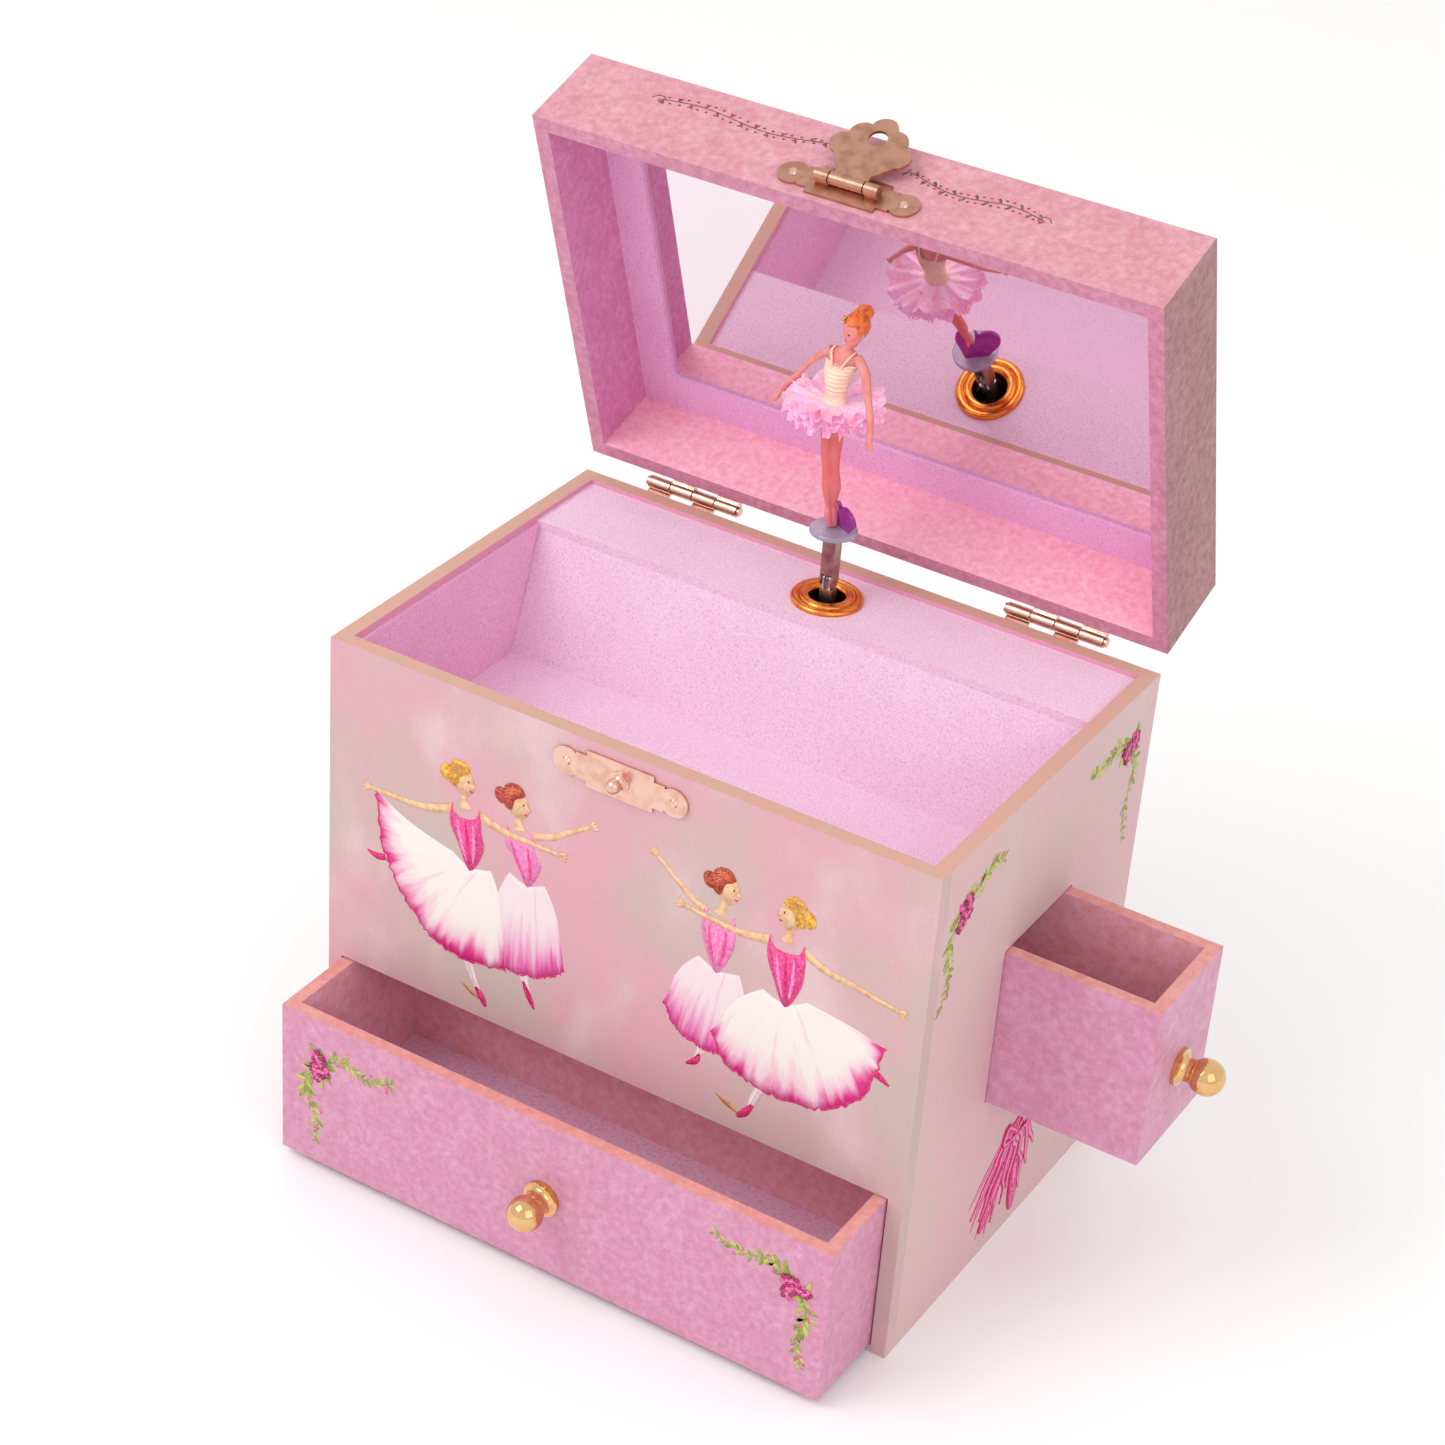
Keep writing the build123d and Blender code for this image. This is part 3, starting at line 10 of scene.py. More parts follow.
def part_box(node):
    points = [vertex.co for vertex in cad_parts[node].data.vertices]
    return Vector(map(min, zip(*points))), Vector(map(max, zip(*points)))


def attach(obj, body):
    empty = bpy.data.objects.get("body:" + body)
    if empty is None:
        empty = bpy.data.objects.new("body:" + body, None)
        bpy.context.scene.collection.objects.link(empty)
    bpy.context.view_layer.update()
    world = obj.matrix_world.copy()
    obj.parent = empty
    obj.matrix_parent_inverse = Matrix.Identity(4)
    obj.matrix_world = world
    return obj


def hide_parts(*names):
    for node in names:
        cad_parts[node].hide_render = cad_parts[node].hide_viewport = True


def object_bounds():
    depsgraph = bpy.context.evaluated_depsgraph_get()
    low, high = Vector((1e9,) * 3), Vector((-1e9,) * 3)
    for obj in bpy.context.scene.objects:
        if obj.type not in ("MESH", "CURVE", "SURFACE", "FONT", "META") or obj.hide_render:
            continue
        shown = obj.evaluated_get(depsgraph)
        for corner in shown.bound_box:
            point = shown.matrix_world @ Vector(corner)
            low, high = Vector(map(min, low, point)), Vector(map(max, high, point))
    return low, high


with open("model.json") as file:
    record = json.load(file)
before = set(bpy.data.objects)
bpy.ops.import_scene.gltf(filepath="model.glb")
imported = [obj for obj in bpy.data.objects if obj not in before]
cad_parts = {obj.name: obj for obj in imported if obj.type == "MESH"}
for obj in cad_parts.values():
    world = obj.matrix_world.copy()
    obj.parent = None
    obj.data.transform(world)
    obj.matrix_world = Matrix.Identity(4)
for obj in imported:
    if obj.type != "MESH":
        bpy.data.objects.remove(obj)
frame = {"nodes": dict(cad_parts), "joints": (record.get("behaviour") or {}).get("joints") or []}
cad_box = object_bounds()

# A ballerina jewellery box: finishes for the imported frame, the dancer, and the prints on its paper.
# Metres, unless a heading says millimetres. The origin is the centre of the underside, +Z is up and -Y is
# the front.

MM = 0.001
SKIN_DEPTH = 0.1 * MM     # how near a point is to a face to count as on it

# ---------------------------------------------------------------- places taken from the frame
hinge = next(j for j in frame["joints"] if j["name"] == "lid_hinge")
lid_open = math.radians(-hinge["range_deg"][0])
hinge_at = Vector(hinge["pos_m"])
lid_up = Vector((0, math.sin(lid_open), math.cos(lid_open)))      # "up" of the shut lid, as it stands open
lid_in = Vector((0, math.cos(lid_open), -math.sin(lid_open)))     # "to the back" of the shut lid
body_low, body_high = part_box("front_panel")
front_y = body_low.y                                              # outer face of the front panel
right_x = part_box("right_wall")[1].x                               # outer face of the right wall
rim_z = body_high.z
rim_gap = 0.3 * MM                                                # between the two rims when shut
lid_rim = rim_z + rim_gap - hinge_at.z                            # rim of the shut lid, from the hinge axis
drawer_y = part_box("front_drawer_front")[0].y                      # outer face of the front drawer
spindle_low, spindle_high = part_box("spindle")
spindle_y = (spindle_low.y + spindle_high.y) / 2


def mean(a, b):
    return (a + b) / 2


def lid_point(x, y, z):
    """A point given on the shut lid, where it is with the lid open. All in metres."""
    away = y - hinge_at.y
    over = z - hinge_at.z
    return Vector((x, hinge_at.y, hinge_at.z)) + lid_in * away + lid_up * over


def srgb(red, green, blue):
    """A screen colour, 0 to 255, as the linear colour that nodes take."""
    def linear(value):
        share = value / 255
        return share / 12.92 if share <= 0.04045 else ((share + 0.055) / 1.055) ** 2.4
    return (linear(red), linear(green), linear(blue), 1.0)


# ---------------------------------------------------------------- materials
class Finish:
    """A Principled material, with short calls that add procedural nodes to it."""

    def __init__(self, name, sockets=None):
        self.material = bpy.data.materials.new(name)
        self.material.use_nodes = True
        self.nodes = self.material.node_tree.nodes
        self.links = self.material.node_tree.links
        self.shader = self.nodes["Principled BSDF"]
        coordinates = self.nodes.new("ShaderNodeTexCoord")
        self.position = coordinates.outputs["Object"]
        self.normal = coordinates.outputs["Normal"]
        self.weave = coordinates.outputs["UV"]
        for socket, value in (sockets or {}).items():
            self.shader.inputs[socket].default_value = value

    def feed(self, socket, value):
        if isinstance(value, bpy.types.NodeSocket):
            self.links.new(value, socket)
        else:
            socket.default_value = value

    def add(self, kind, inputs, **settings):
        node = self.nodes.new(kind)
        for setting, value in settings.items():
            setattr(node, setting, value)
        for socket, value in inputs.items():
            self.feed(node.inputs[socket], value)
        return node

    def noise(self, size, detail=2.0, stretch=(1, 1, 1), start=0.0, source=None):
        """Cloudy noise with patches about size across, drawn out where stretch is above 1.

        size is in metres, or in the units of the source.
        """
        scale = [1 / (size * s) for s in stretch]
        place = self.add(
            "ShaderNodeMapping",
            {"Vector": source or self.position, "Location": (start,) * 3, "Scale": scale},
        )
        made = self.add("ShaderNodeTexNoise", {"Vector": place.outputs[0], "Scale": 1.0, "Detail": detail})
        return made.outputs["Fac"]

    def math(self, operation, a, b):
        return self.add("ShaderNodeMath", {0: a, 1: b}, operation=operation).outputs[0]

    def fade(self, value, low, high):
        """0 at low, 1 at high, smooth between and level beyond. low may be the larger of the two."""
        node = self.add(
            "ShaderNodeMapRange",
            {"Value": value, "From Min": low, "From Max": high},
            interpolation_type="SMOOTHSTEP",
        )
        return node.outputs["Result"]

    def span(self, value, low, high):
        """Spreads a noise's usual values, 0.3 to 0.7, over low to high."""
        node = self.add(
            "ShaderNodeMapRange",
            {"Value": value, "From Min": 0.3, "From Max": 0.7, "To Min": low, "To Max": high},
        )
        return node.outputs["Result"]

    def vector(self, operation, a, b):
        node = self.add("ShaderNodeVectorMath", {0: a, 1: b}, operation=operation)
        return node.outputs["Value" if operation in ("DOT_PRODUCT", "DISTANCE") else "Vector"]

    def mix(self, share, a, b):
        """Colour a where share is 0, b where it is 1. Sockets 6 and 7 are the node's two colour inputs."""
        node = self.add("ShaderNodeMix", {0: share, 6: a, 7: b}, data_type="RGBA")
        return node.outputs[2]

    def colour(self, value):
        self.feed(self.shader.inputs["Base Color"], value)

    def rough(self, value):
        self.feed(self.shader.inputs["Roughness"], value)

    def bump(self, height, distance):
        """Raises the surface by up to distance metres where height is 1."""
        node = self.add("ShaderNodeBump", {"Height": height, "Distance": distance, "Strength": 1.0})
        self.feed(self.shader.inputs["Normal"], node.outputs["Normal"])

    def rim(self, up, level):
        """1 on the flat rim of a box that opens towards up; level is the rim's place along up."""
        climb = self.vector("DOT_PRODUCT", self.position, up)
        high = self.math("GREATER_THAN", climb, level - 2 * SKIN_DEPTH)
        flat = self.math("GREATER_THAN", self.vector("DOT_PRODUCT", self.normal, up), 0.9)
        return self.math("MULTIPLY", high, flat)

    def inside(self, centre):
        """1 on the walls' faces that look to the box's middle."""
        away = self.vector("SUBTRACT", self.position, centre)
        return self.math("LESS_THAN", self.vector("DOT_PRODUCT", away, self.normal), 0.0)


def middle(*nodes):
    """The middle of several CAD nodes together."""
    boxes = [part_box(n) for n in nodes]
    low = [min(b[0][k] for b in boxes) for k in range(3)]
    high = [max(b[1][k] for b in boxes) for k in range(3)]
    return tuple(mean(a, b) for a, b in zip(low, high))


def fleck(paint, base, light, dark, size=1.1 * MM):
    """Mottled paper: soft clouds of light and dark over a base colour, broken up by a fine grain."""
    cloud = paint.noise(9 * MM, 4)
    pale = paint.noise(size, 4, start=3.0)
    deep = paint.noise(size * 1.7, 5, start=7.0)
    grain = paint.noise(0.45 * MM, 2, start=11.0)
    tinted = paint.mix(paint.fade(cloud, 0.38, 0.64), base, paint.mix(0.55, base, light))
    lit = paint.mix(paint.span(pale, 0.0, 0.55), tinted, light)
    shaded = paint.mix(paint.span(deep, 0.0, 0.7), lit, dark)
    return paint.mix(paint.fade(grain, 0.45, 0.7), shaded, paint.mix(0.35, shaded, dark))


def printed_paper():
    """Watercolour paper of the body, its folded rim, and the lining strip over the tray."""
    paint = Finish("printed_paper", {"Specular IOR Level": 0.3})
    rosy = srgb(214, 163, 174)
    sand = srgb(195, 176, 168)
    milk = srgb(218, 190, 194)
    wash = paint.noise(46 * MM, 4, start=1.7)
    veil = paint.noise(24 * MM, 5, stretch=(1, 1, 1.6), start=5.2)
    grain = paint.noise(0.7 * MM, 2)
    sheet = paint.mix(paint.fade(wash, 0.4, 0.62), rosy, sand)
    sheet = paint.mix(paint.fade(veil, 0.5, 0.72), sheet, milk)
    sheet = paint.mix(paint.span(grain, 0.0, 0.16), sheet, srgb(196, 140, 150))
    across = paint.vector("DOT_PRODUCT", paint.position, (1, 0, 0))
    along = paint.vector("DOT_PRODUCT", paint.position, (0, 1, 0))
    on_side = paint.math("GREATER_THAN", across, right_x - SKIN_DEPTH)
    lap_w = 4 * MM                                                # the front paper's turn round the corner
    lap = paint.math("LESS_THAN", along, front_y + lap_w)
    beyond = paint.math("MULTIPLY", on_side, paint.math("SUBTRACT", 1.0, lap))
    dusty = paint.mix(paint.fade(veil, 0.4, 0.65), srgb(218, 180, 186), srgb(208, 184, 180))
    sheet = paint.mix(paint.math("MULTIPLY", beyond, 0.7), sheet, dusty)
    fold = paint.noise(3.5 * MM, 3, start=9.0)
    rim_paper = paint.mix(paint.fade(fold, 0.35, 0.65), srgb(214, 164, 148), srgb(206, 168, 150))
    lining = paint.mix(paint.span(grain, 0.0, 0.3), srgb(226, 160, 184), srgb(206, 136, 164))
    sheet = paint.mix(paint.inside(middle("tray_floor", "front_panel", "back_wall")), sheet, lining)
    paint.colour(paint.mix(paint.rim((0, 0, 1), rim_z), sheet, rim_paper))
    paint.bump(paint.noise(0.5 * MM, 3), 0.02 * MM)
    paint.rough(paint.span(grain, 0.56, 0.68))
    return paint.material


def lid_paper():
    """Mottled paper of the lid, with painted shade on its right side, and the lining of its walls, with
    painted shade on the left wall's lining.
    """
    paint = Finish("lid_paper", {"Specular IOR Level": 0.45})
    outer = fleck(paint, srgb(214, 148, 164), srgb(226, 178, 188), srgb(198, 120, 130))
    # side: the same paper, darker and browner, on the lid's right side: painted shade.
    side = fleck(paint, srgb(166, 110, 122), srgb(190, 138, 146), srgb(128, 80, 72))
    across = paint.vector("DOT_PRODUCT", paint.position, (1, 0, 0))
    outer = paint.mix(paint.math("GREATER_THAN", across, right_x - SKIN_DEPTH), outer, side)
    rim_paper = fleck(paint, srgb(206, 136, 166), srgb(222, 160, 184), srgb(178, 104, 128))
    lining = fleck(paint, srgb(250, 186, 208), srgb(254, 208, 222), srgb(236, 146, 168), 0.9 * MM)
    # shaded: the lining on the left wall, which faces +X, made darker: painted shade.
    shaded = fleck(paint, srgb(216, 140, 188), srgb(228, 164, 206), srgb(196, 112, 156), 0.9 * MM)
    facing = paint.math("GREATER_THAN", paint.vector("DOT_PRODUCT", paint.normal, (1, 0, 0)), 0.7)
    lining = paint.mix(facing, lining, shaded)
    centre = middle("lid_side_walls", "lid_front_wall", "lid_back_wall")
    level = -lid_up.dot(hinge_at + lid_up * lid_rim)
    sheet = paint.mix(paint.inside(centre), outer, lining)
    paint.colour(paint.mix(paint.rim(tuple(-lid_up), level), sheet, rim_paper))
    paint.bump(paint.noise(0.9 * MM, 4), 0.03 * MM)
    paint.rough(paint.span(paint.noise(2 * MM), 0.42, 0.56))
    return paint.material


def drawer_paper(name, nodes):
    """Mottled paper of a drawer's outside and rim, and the lining of its walls."""
    paint = Finish(name, {"Specular IOR Level": 0.5})
    outer = fleck(paint, srgb(208, 143, 175), srgb(219, 167, 193), srgb(193, 119, 146), 1.1 * MM)
    rim_paper = fleck(paint, srgb(226, 152, 148), srgb(238, 176, 162), srgb(208, 130, 130))
    lining = fleck(paint, srgb(246, 184, 208), srgb(252, 206, 224), srgb(226, 146, 142), 1.2 * MM)
    sheet = paint.mix(paint.inside(middle(*nodes)), outer, lining)
    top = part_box(nodes[0])[1].z
    paint.colour(paint.mix(paint.rim((0, 0, 1), top), sheet, rim_paper))
    paint.bump(paint.noise(0.8 * MM, 4), 0.03 * MM)
    paint.rough(paint.span(paint.noise(2 * MM), 0.34, 0.5))
    return paint.material


def flock(name, base, light, dark, fibre=0.45 * MM):
    """Velvety flocking: fine fibres, a soft sheen and a slight unevenness."""
    paint = Finish(name, {
        "Sheen Weight": 0.35,
        "Sheen Roughness": 0.5,
        "Sheen Tint": light,
        "Specular IOR Level": 0.15,
    })
    fibres = paint.noise(fibre, 3)
    drift = paint.noise(22 * MM, 3, start=2.0)
    nap = paint.mix(paint.fade(drift, 0.35, 0.7), base, paint.mix(0.4, base, light))
    nap = paint.mix(paint.fade(fibres, 0.52, 0.72), nap, light)
    paint.colour(paint.mix(paint.fade(fibres, 0.5, 0.3), nap, dark))
    paint.bump(fibres, 0.12 * MM)
    paint.rough(paint.span(fibres, 0.85, 1.0))
    return paint.material


def plain_board():
    """Greyboard with a pink cover, for the parts behind the drawers."""
    paint = Finish("inner_board", {"Specular IOR Level": 0.25})
    paint.colour(fleck(paint, srgb(176, 118, 140), srgb(190, 136, 152), srgb(148, 92, 108), 0.8 * MM))
    paint.bump(paint.noise(0.6 * MM, 4), 0.03 * MM)
    paint.rough(paint.span(paint.noise(4 * MM), 0.6, 0.75))
    return paint.material


def metal(name, base, worn, roughness, stretch=(1, 1, 1), relief=0.004 * MM):
    """Metal with a faint grain, and patches where its lacquer or polish differs."""
    paint = Finish(name, {"Metallic": 1.0})
    grain = 0.5 * MM
    patches = paint.noise(6 * grain, 3, start=4.0)
    lines = paint.noise(grain, 3, stretch=stretch)
    paint.colour(paint.mix(paint.fade(patches, 0.4, 0.7), base, worn))
    paint.rough(paint.span(lines, roughness * 0.8, roughness * 1.25))
    paint.bump(lines, relief)
    return paint.material


def silvered_glass():
    """The mirror: polished silver with a faint haze."""
    paint = Finish("mirror", {"Metallic": 1.0})
    haze = paint.noise(30 * MM, 3)
    paint.colour(paint.mix(haze, srgb(232, 220, 226), srgb(236, 226, 232)))
    paint.rough(paint.span(haze, 0.015, 0.035))
    return paint.material


def clear_plastic(name, base, deep, clearness):
    """Tinted clear plastic: a slight mottle, and a skin that isn't quite flat."""
    roughness = 0.2
    paint = Finish(name, {"Transmission Weight": clearness, "IOR": 1.49})
    swirl = paint.noise(3 * MM, 3)
    paint.colour(paint.mix(paint.fade(swirl, 0.35, 0.7), base, deep))
    paint.rough(paint.span(paint.noise(1.2 * MM), roughness * 0.85, roughness * 1.2))
    paint.bump(paint.noise(1.8 * MM, 2), 0.02 * MM)
    return paint.material


front_drawer_nodes = ("front_drawer_front", "front_drawer_walls", "front_drawer_base")
side_drawer_nodes = ("side_drawer_front", "side_drawer_walls", "side_drawer_base")
brass = metal("brass", srgb(228, 190, 174), srgb(218, 170, 152), 0.28)
# The hasp's brass, made darker: painted reflection of the dark surroundings that its upturned leaf faces.
dark_reflection_brass = metal("dark_reflection_brass", srgb(198, 150, 128), srgb(178, 128, 106), 0.34)
gold = metal("gold", srgb(228, 186, 130), srgb(218, 164, 112), 0.11, relief=0.0015 * MM)
steel = metal("steel", srgb(196, 190, 196), srgb(170, 166, 176), 0.3, stretch=(1, 1, 4))

finishes = [
    (
        printed_paper(),
        ["left_wall", "right_wall", "back_wall", "front_panel", "bottom_panel"],
    ),
    (plain_board(), ["drawer_shelf", "front_drawer_stop", "side_drawer_bay"]),
    (
        flock("flock", srgb(238, 204, 224), srgb(246, 218, 236), srgb(224, 182, 208)),
        ["tray_floor", "tray_slope", "platform"],
    ),
    (
        flock("flock_pink", srgb(236, 180, 212), srgb(246, 198, 226), srgb(220, 156, 194)),
        ["tray_liner"],
    ),
    (lid_paper(), ["lid_top_panel", "lid_front_wall", "lid_back_wall", "lid_side_walls"]),
    (drawer_paper("front_drawer_paper", front_drawer_nodes), front_drawer_nodes),
    (drawer_paper("side_drawer_paper", side_drawer_nodes), side_drawer_nodes),
    (
        flock("drawer_flock", srgb(244, 196, 224), srgb(250, 214, 236), srgb(230, 172, 204), 0.9 * MM),
        ["front_drawer_liner", "side_drawer_liner"],
    ),
    (silvered_glass(), ["mirror"]),
    (
        flock("mat_card", srgb(234, 174, 218), srgb(242, 190, 228), srgb(220, 156, 204), 0.5 * MM),
        ["mirror_mat"],
    ),
    (
        brass,
        [
            "catch_plate", "catch_stud", "body_nails",
            "hinge_body_leaves", "hinge_pins", "hinge_lid_leaves", "lid_nails",
        ],
    ),
    (dark_reflection_brass, ["hasp_plate", "hasp_leaf", "hasp_pin"]),
    (metal("eyelet", srgb(236, 150, 70), srgb(214, 118, 52), 0.2), ["grommet"]),
    (
        gold,
        [
            "front_drawer_knob", "side_drawer_knob", "spring_barrel", "pinned_cylinder",
            "governor_wheel", "governor_fan", "governor_frame",
        ],
    ),
    (
        steel,
        [
            "movement_screws", "tone_comb", "mainspring", "winding_arbor", "winding_key", "spindle",
            "fold_spring", "front_drawer_knob_screw", "side_drawer_knob_screw",
        ],
    ),
    (
        metal("post", srgb(184, 150, 142), srgb(152, 116, 108), 0.36, stretch=(1, 1, 4)),
        ["folding_post", "fold_pin"],
    ),
    (
        metal("zinc_casting", srgb(190, 190, 196), srgb(168, 168, 176), 0.5),
        ["movement_bedplate"],
    ),
    (
        clear_plastic("clear_plastic", srgb(214, 204, 224), srgb(196, 186, 212), 0.45),
        ["figure_disc"],
    ),
    (
        clear_plastic("heart_plastic", srgb(186, 60, 170), srgb(160, 40, 150), 0.25),
        ["heart_plate"],
    ),
]
for finish, nodes in finishes:
    for node in nodes:
        slots = frame["nodes"][node].data.materials
        slots.clear()
        slots.append(finish)

# ---------------------------------------------------------------- mesh helpers
def smooth_line(points, steps, closed=False):
    """Points on a smooth line through the given ones. Whatever else a point carries is smoothed too."""
    count = len(points)
    made = []
    for i in range(count if closed else count - 1):
        near_at = [(i + k) % count if closed else min(max(i + k, 0), count - 1) for k in (-1, 0, 1, 2)]
        near = [points[k] for k in near_at]
        for step in range(steps):
            t = step / steps
            weights = (
                (-t + 2 * t * t - t**3) / 2,
                (2 - 5 * t * t + 3 * t**3) / 2,
                (t + 4 * t * t - 3 * t**3) / 2,
                (t**3 - t * t) / 2,
            )
            made.append(tuple(sum(w * p[k] for w, p in zip(weights, near)) for k in range(len(points[0]))))
    if not closed:
        made.append(tuple(points[-1]))
    return made


def skin_rings(bm, rings):
    """Joins closed rings of points, one after another, and caps both ends."""
    loops = [[bm.verts.new(p) for p in ring] for ring in rings]
    count = len(loops[0])
    for low, high in zip(loops, loops[1:]):
        for i in range(count):
            j = (i + 1) % count
            bm.faces.new((low[i], low[j], high[j], high[i]))
    bm.faces.new(loops[0][::-1])
    bm.faces.new(loops[-1])


def limb(bm, path, sides=16, steps=8):
    """A round limb along a smooth line. path holds (x, y, z, radius) or (x, y, z, radius, flatness)."""
    line = smooth_line([p if len(p) == 5 else (*p, 1.0) for p in path], steps)
    rings = []
    for i, (x, y, z, radius, flatness) in enumerate(line):
        after = Vector(line[min(i + 1, len(line) - 1)][:3])
        before = Vector(line[max(i - 1, 0)][:3])
        along = (after - before).normalized()
        side = along.cross(Vector((0, 1, 0))).normalized()
        front = side.cross(along)
        ring = []
        for k in range(sides):
            angle = math.tau * k / sides
            out = side * math.cos(angle) + front * math.sin(angle) * flatness
            ring.append(Vector((x, y, z)) + out * radius)
        rings.append(ring)
    skin_rings(bm, rings)


def ball(bm, place, sizes, turn=None, sides=20):
    """An egg of the given half sizes, turned by a matrix."""
    shape = Matrix.Translation(place) @ (turn or Matrix()) @ Matrix.Diagonal((*sizes, 1))
    bmesh.ops.create_uvsphere(bm, u_segments=sides, v_segments=sides // 2, radius=1, matrix=shape)


def new_piece(name, bm, body, materials, replaced=()):
    """A smooth-shaded piece made from a bmesh drawn in millimetres, riding on a body."""
    bmesh.ops.recalc_face_normals(bm, faces=bm.faces)
    bmesh.ops.scale(bm, vec=(MM,) * 3, verts=bm.verts)
    mesh = bpy.data.meshes.new(name)
    bm.to_mesh(mesh)
    bm.free()
    mesh.polygons.foreach_set("use_smooth", [True] * len(mesh.polygons))
    piece = bpy.data.objects.new(name, mesh)
    bpy.context.scene.collection.objects.link(piece)
    for material in materials:
        mesh.materials.append(material)
    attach(piece, body)
    if replaced:
        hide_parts(*replaced)
    return piece


def melted(bm, voxel, rounds):
    """The union of everything in a bmesh as one smooth skin."""
    mesh = bpy.data.meshes.new("raw")
    bm.to_mesh(mesh)
    bm.free()
    raw = bpy.data.objects.new("raw", mesh)
    bpy.context.scene.collection.objects.link(raw)
    remesh = raw.modifiers.new("skin", "REMESH")
    remesh.mode = "VOXEL"
    remesh.voxel_size = voxel
    soften = raw.modifiers.new("soften", "SMOOTH")
    soften.factor = 0.5
    soften.iterations = rounds
    bpy.context.view_layer.update()
    whole = raw.evaluated_get(bpy.context.evaluated_depsgraph_get())
    made = bmesh.new()
    made.from_mesh(whole.data)
    bpy.data.objects.remove(raw)
    bpy.data.meshes.remove(mesh)
    return made


# ---------------------------------------------------------------- the dancer, in millimetres
axis_y = spindle_y / MM
foot_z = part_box("ballerina_figure")[0].z / MM
head_at = Vector((0.9, axis_y - 0.6, foot_z + 48.4))
head_turn = Matrix.Rotation(math.radians(-22), 4, "Z") @ Matrix.Rotation(math.radians(10), 4, "X")

# height over the foot, half width, depth to the front, depth to the back
torso = [
    (24.6, 2.8, 2.2, 2.5),
    (27.2, 3.3, 2.5, 2.8),
    (29.8, 2.8, 2.2, 2.2),
    (32.0, 2.1, 1.75, 1.7),
    (34.4, 2.45, 2.05, 1.8),
    (36.9, 3.05, 2.75, 1.9),
    (39.0, 3.45, 2.1, 1.9),
    (41.0, 3.4, 1.5, 1.6),
    (42.2, 1.7, 1.3, 1.3),
]


def torso_ring(level, swell=0.0):
    """The outline of the torso at one of its levels, widened by swell."""
    height, wide, front, back = level
    sides = 48
    ring = []
    for k in range(sides):
        angle = math.tau * k / sides
        depth = front if math.sin(angle) < 0 else back
        ring.append((
            (wide + swell) * math.cos(angle),
            axis_y + (depth + swell) * math.sin(angle),
            foot_z + height,
        ))
    return ring


def from_foot(path):
    """A path given from the middle of the foot, moved to where the dancer stands."""
    return [(x, axis_y + y, foot_z + z, *rest) for x, y, z, *rest in path]


def on_head(x, y, z):
    """A place given from the middle of the upright head, -Y being its face."""
    return head_at + head_turn @ Vector((x, y, z))


def between(value, stops):
    """A smooth value between (place, value) stops."""
    if value <= stops[0][0]:
        return stops[0][1]
    for (low, first), (high, last) in zip(stops, stops[1:]):
        if value <= high:
            t = (value - low) / (high - low)
            return first + (last - first) * t * t * (3 - 2 * t)
    return stops[-1][1]


# how far each height over the foot moves to the right, and up
lean = ((0, -0.5), (8, -1.5), (18, -2.5), (28, -2.8), (34, -2.6), (41, -1.5), (44.5, 0.0))
stretch = ((28, 0.0), (38, 1.1), (42, 1.1), (46, 0.0))
arm_x = 3.6               # the arms start to hold back from the lean here
arm_blend = 8.0           # and no longer lean this much further out


def sway(bm, keep_arms=False):
    """Lean the dancer's hips to the left and stretch the torso. keep_arms keeps the hands from leaning."""
    for vert in bm.verts:
        high = vert.co.z - foot_z
        held = min(max((abs(vert.co.x) - arm_x) / arm_blend, 0.0), 1.0) if keep_arms else 0.0
        vert.co.x += between(high, lean) * (1 - held)
        vert.co.z += between(high, stretch)


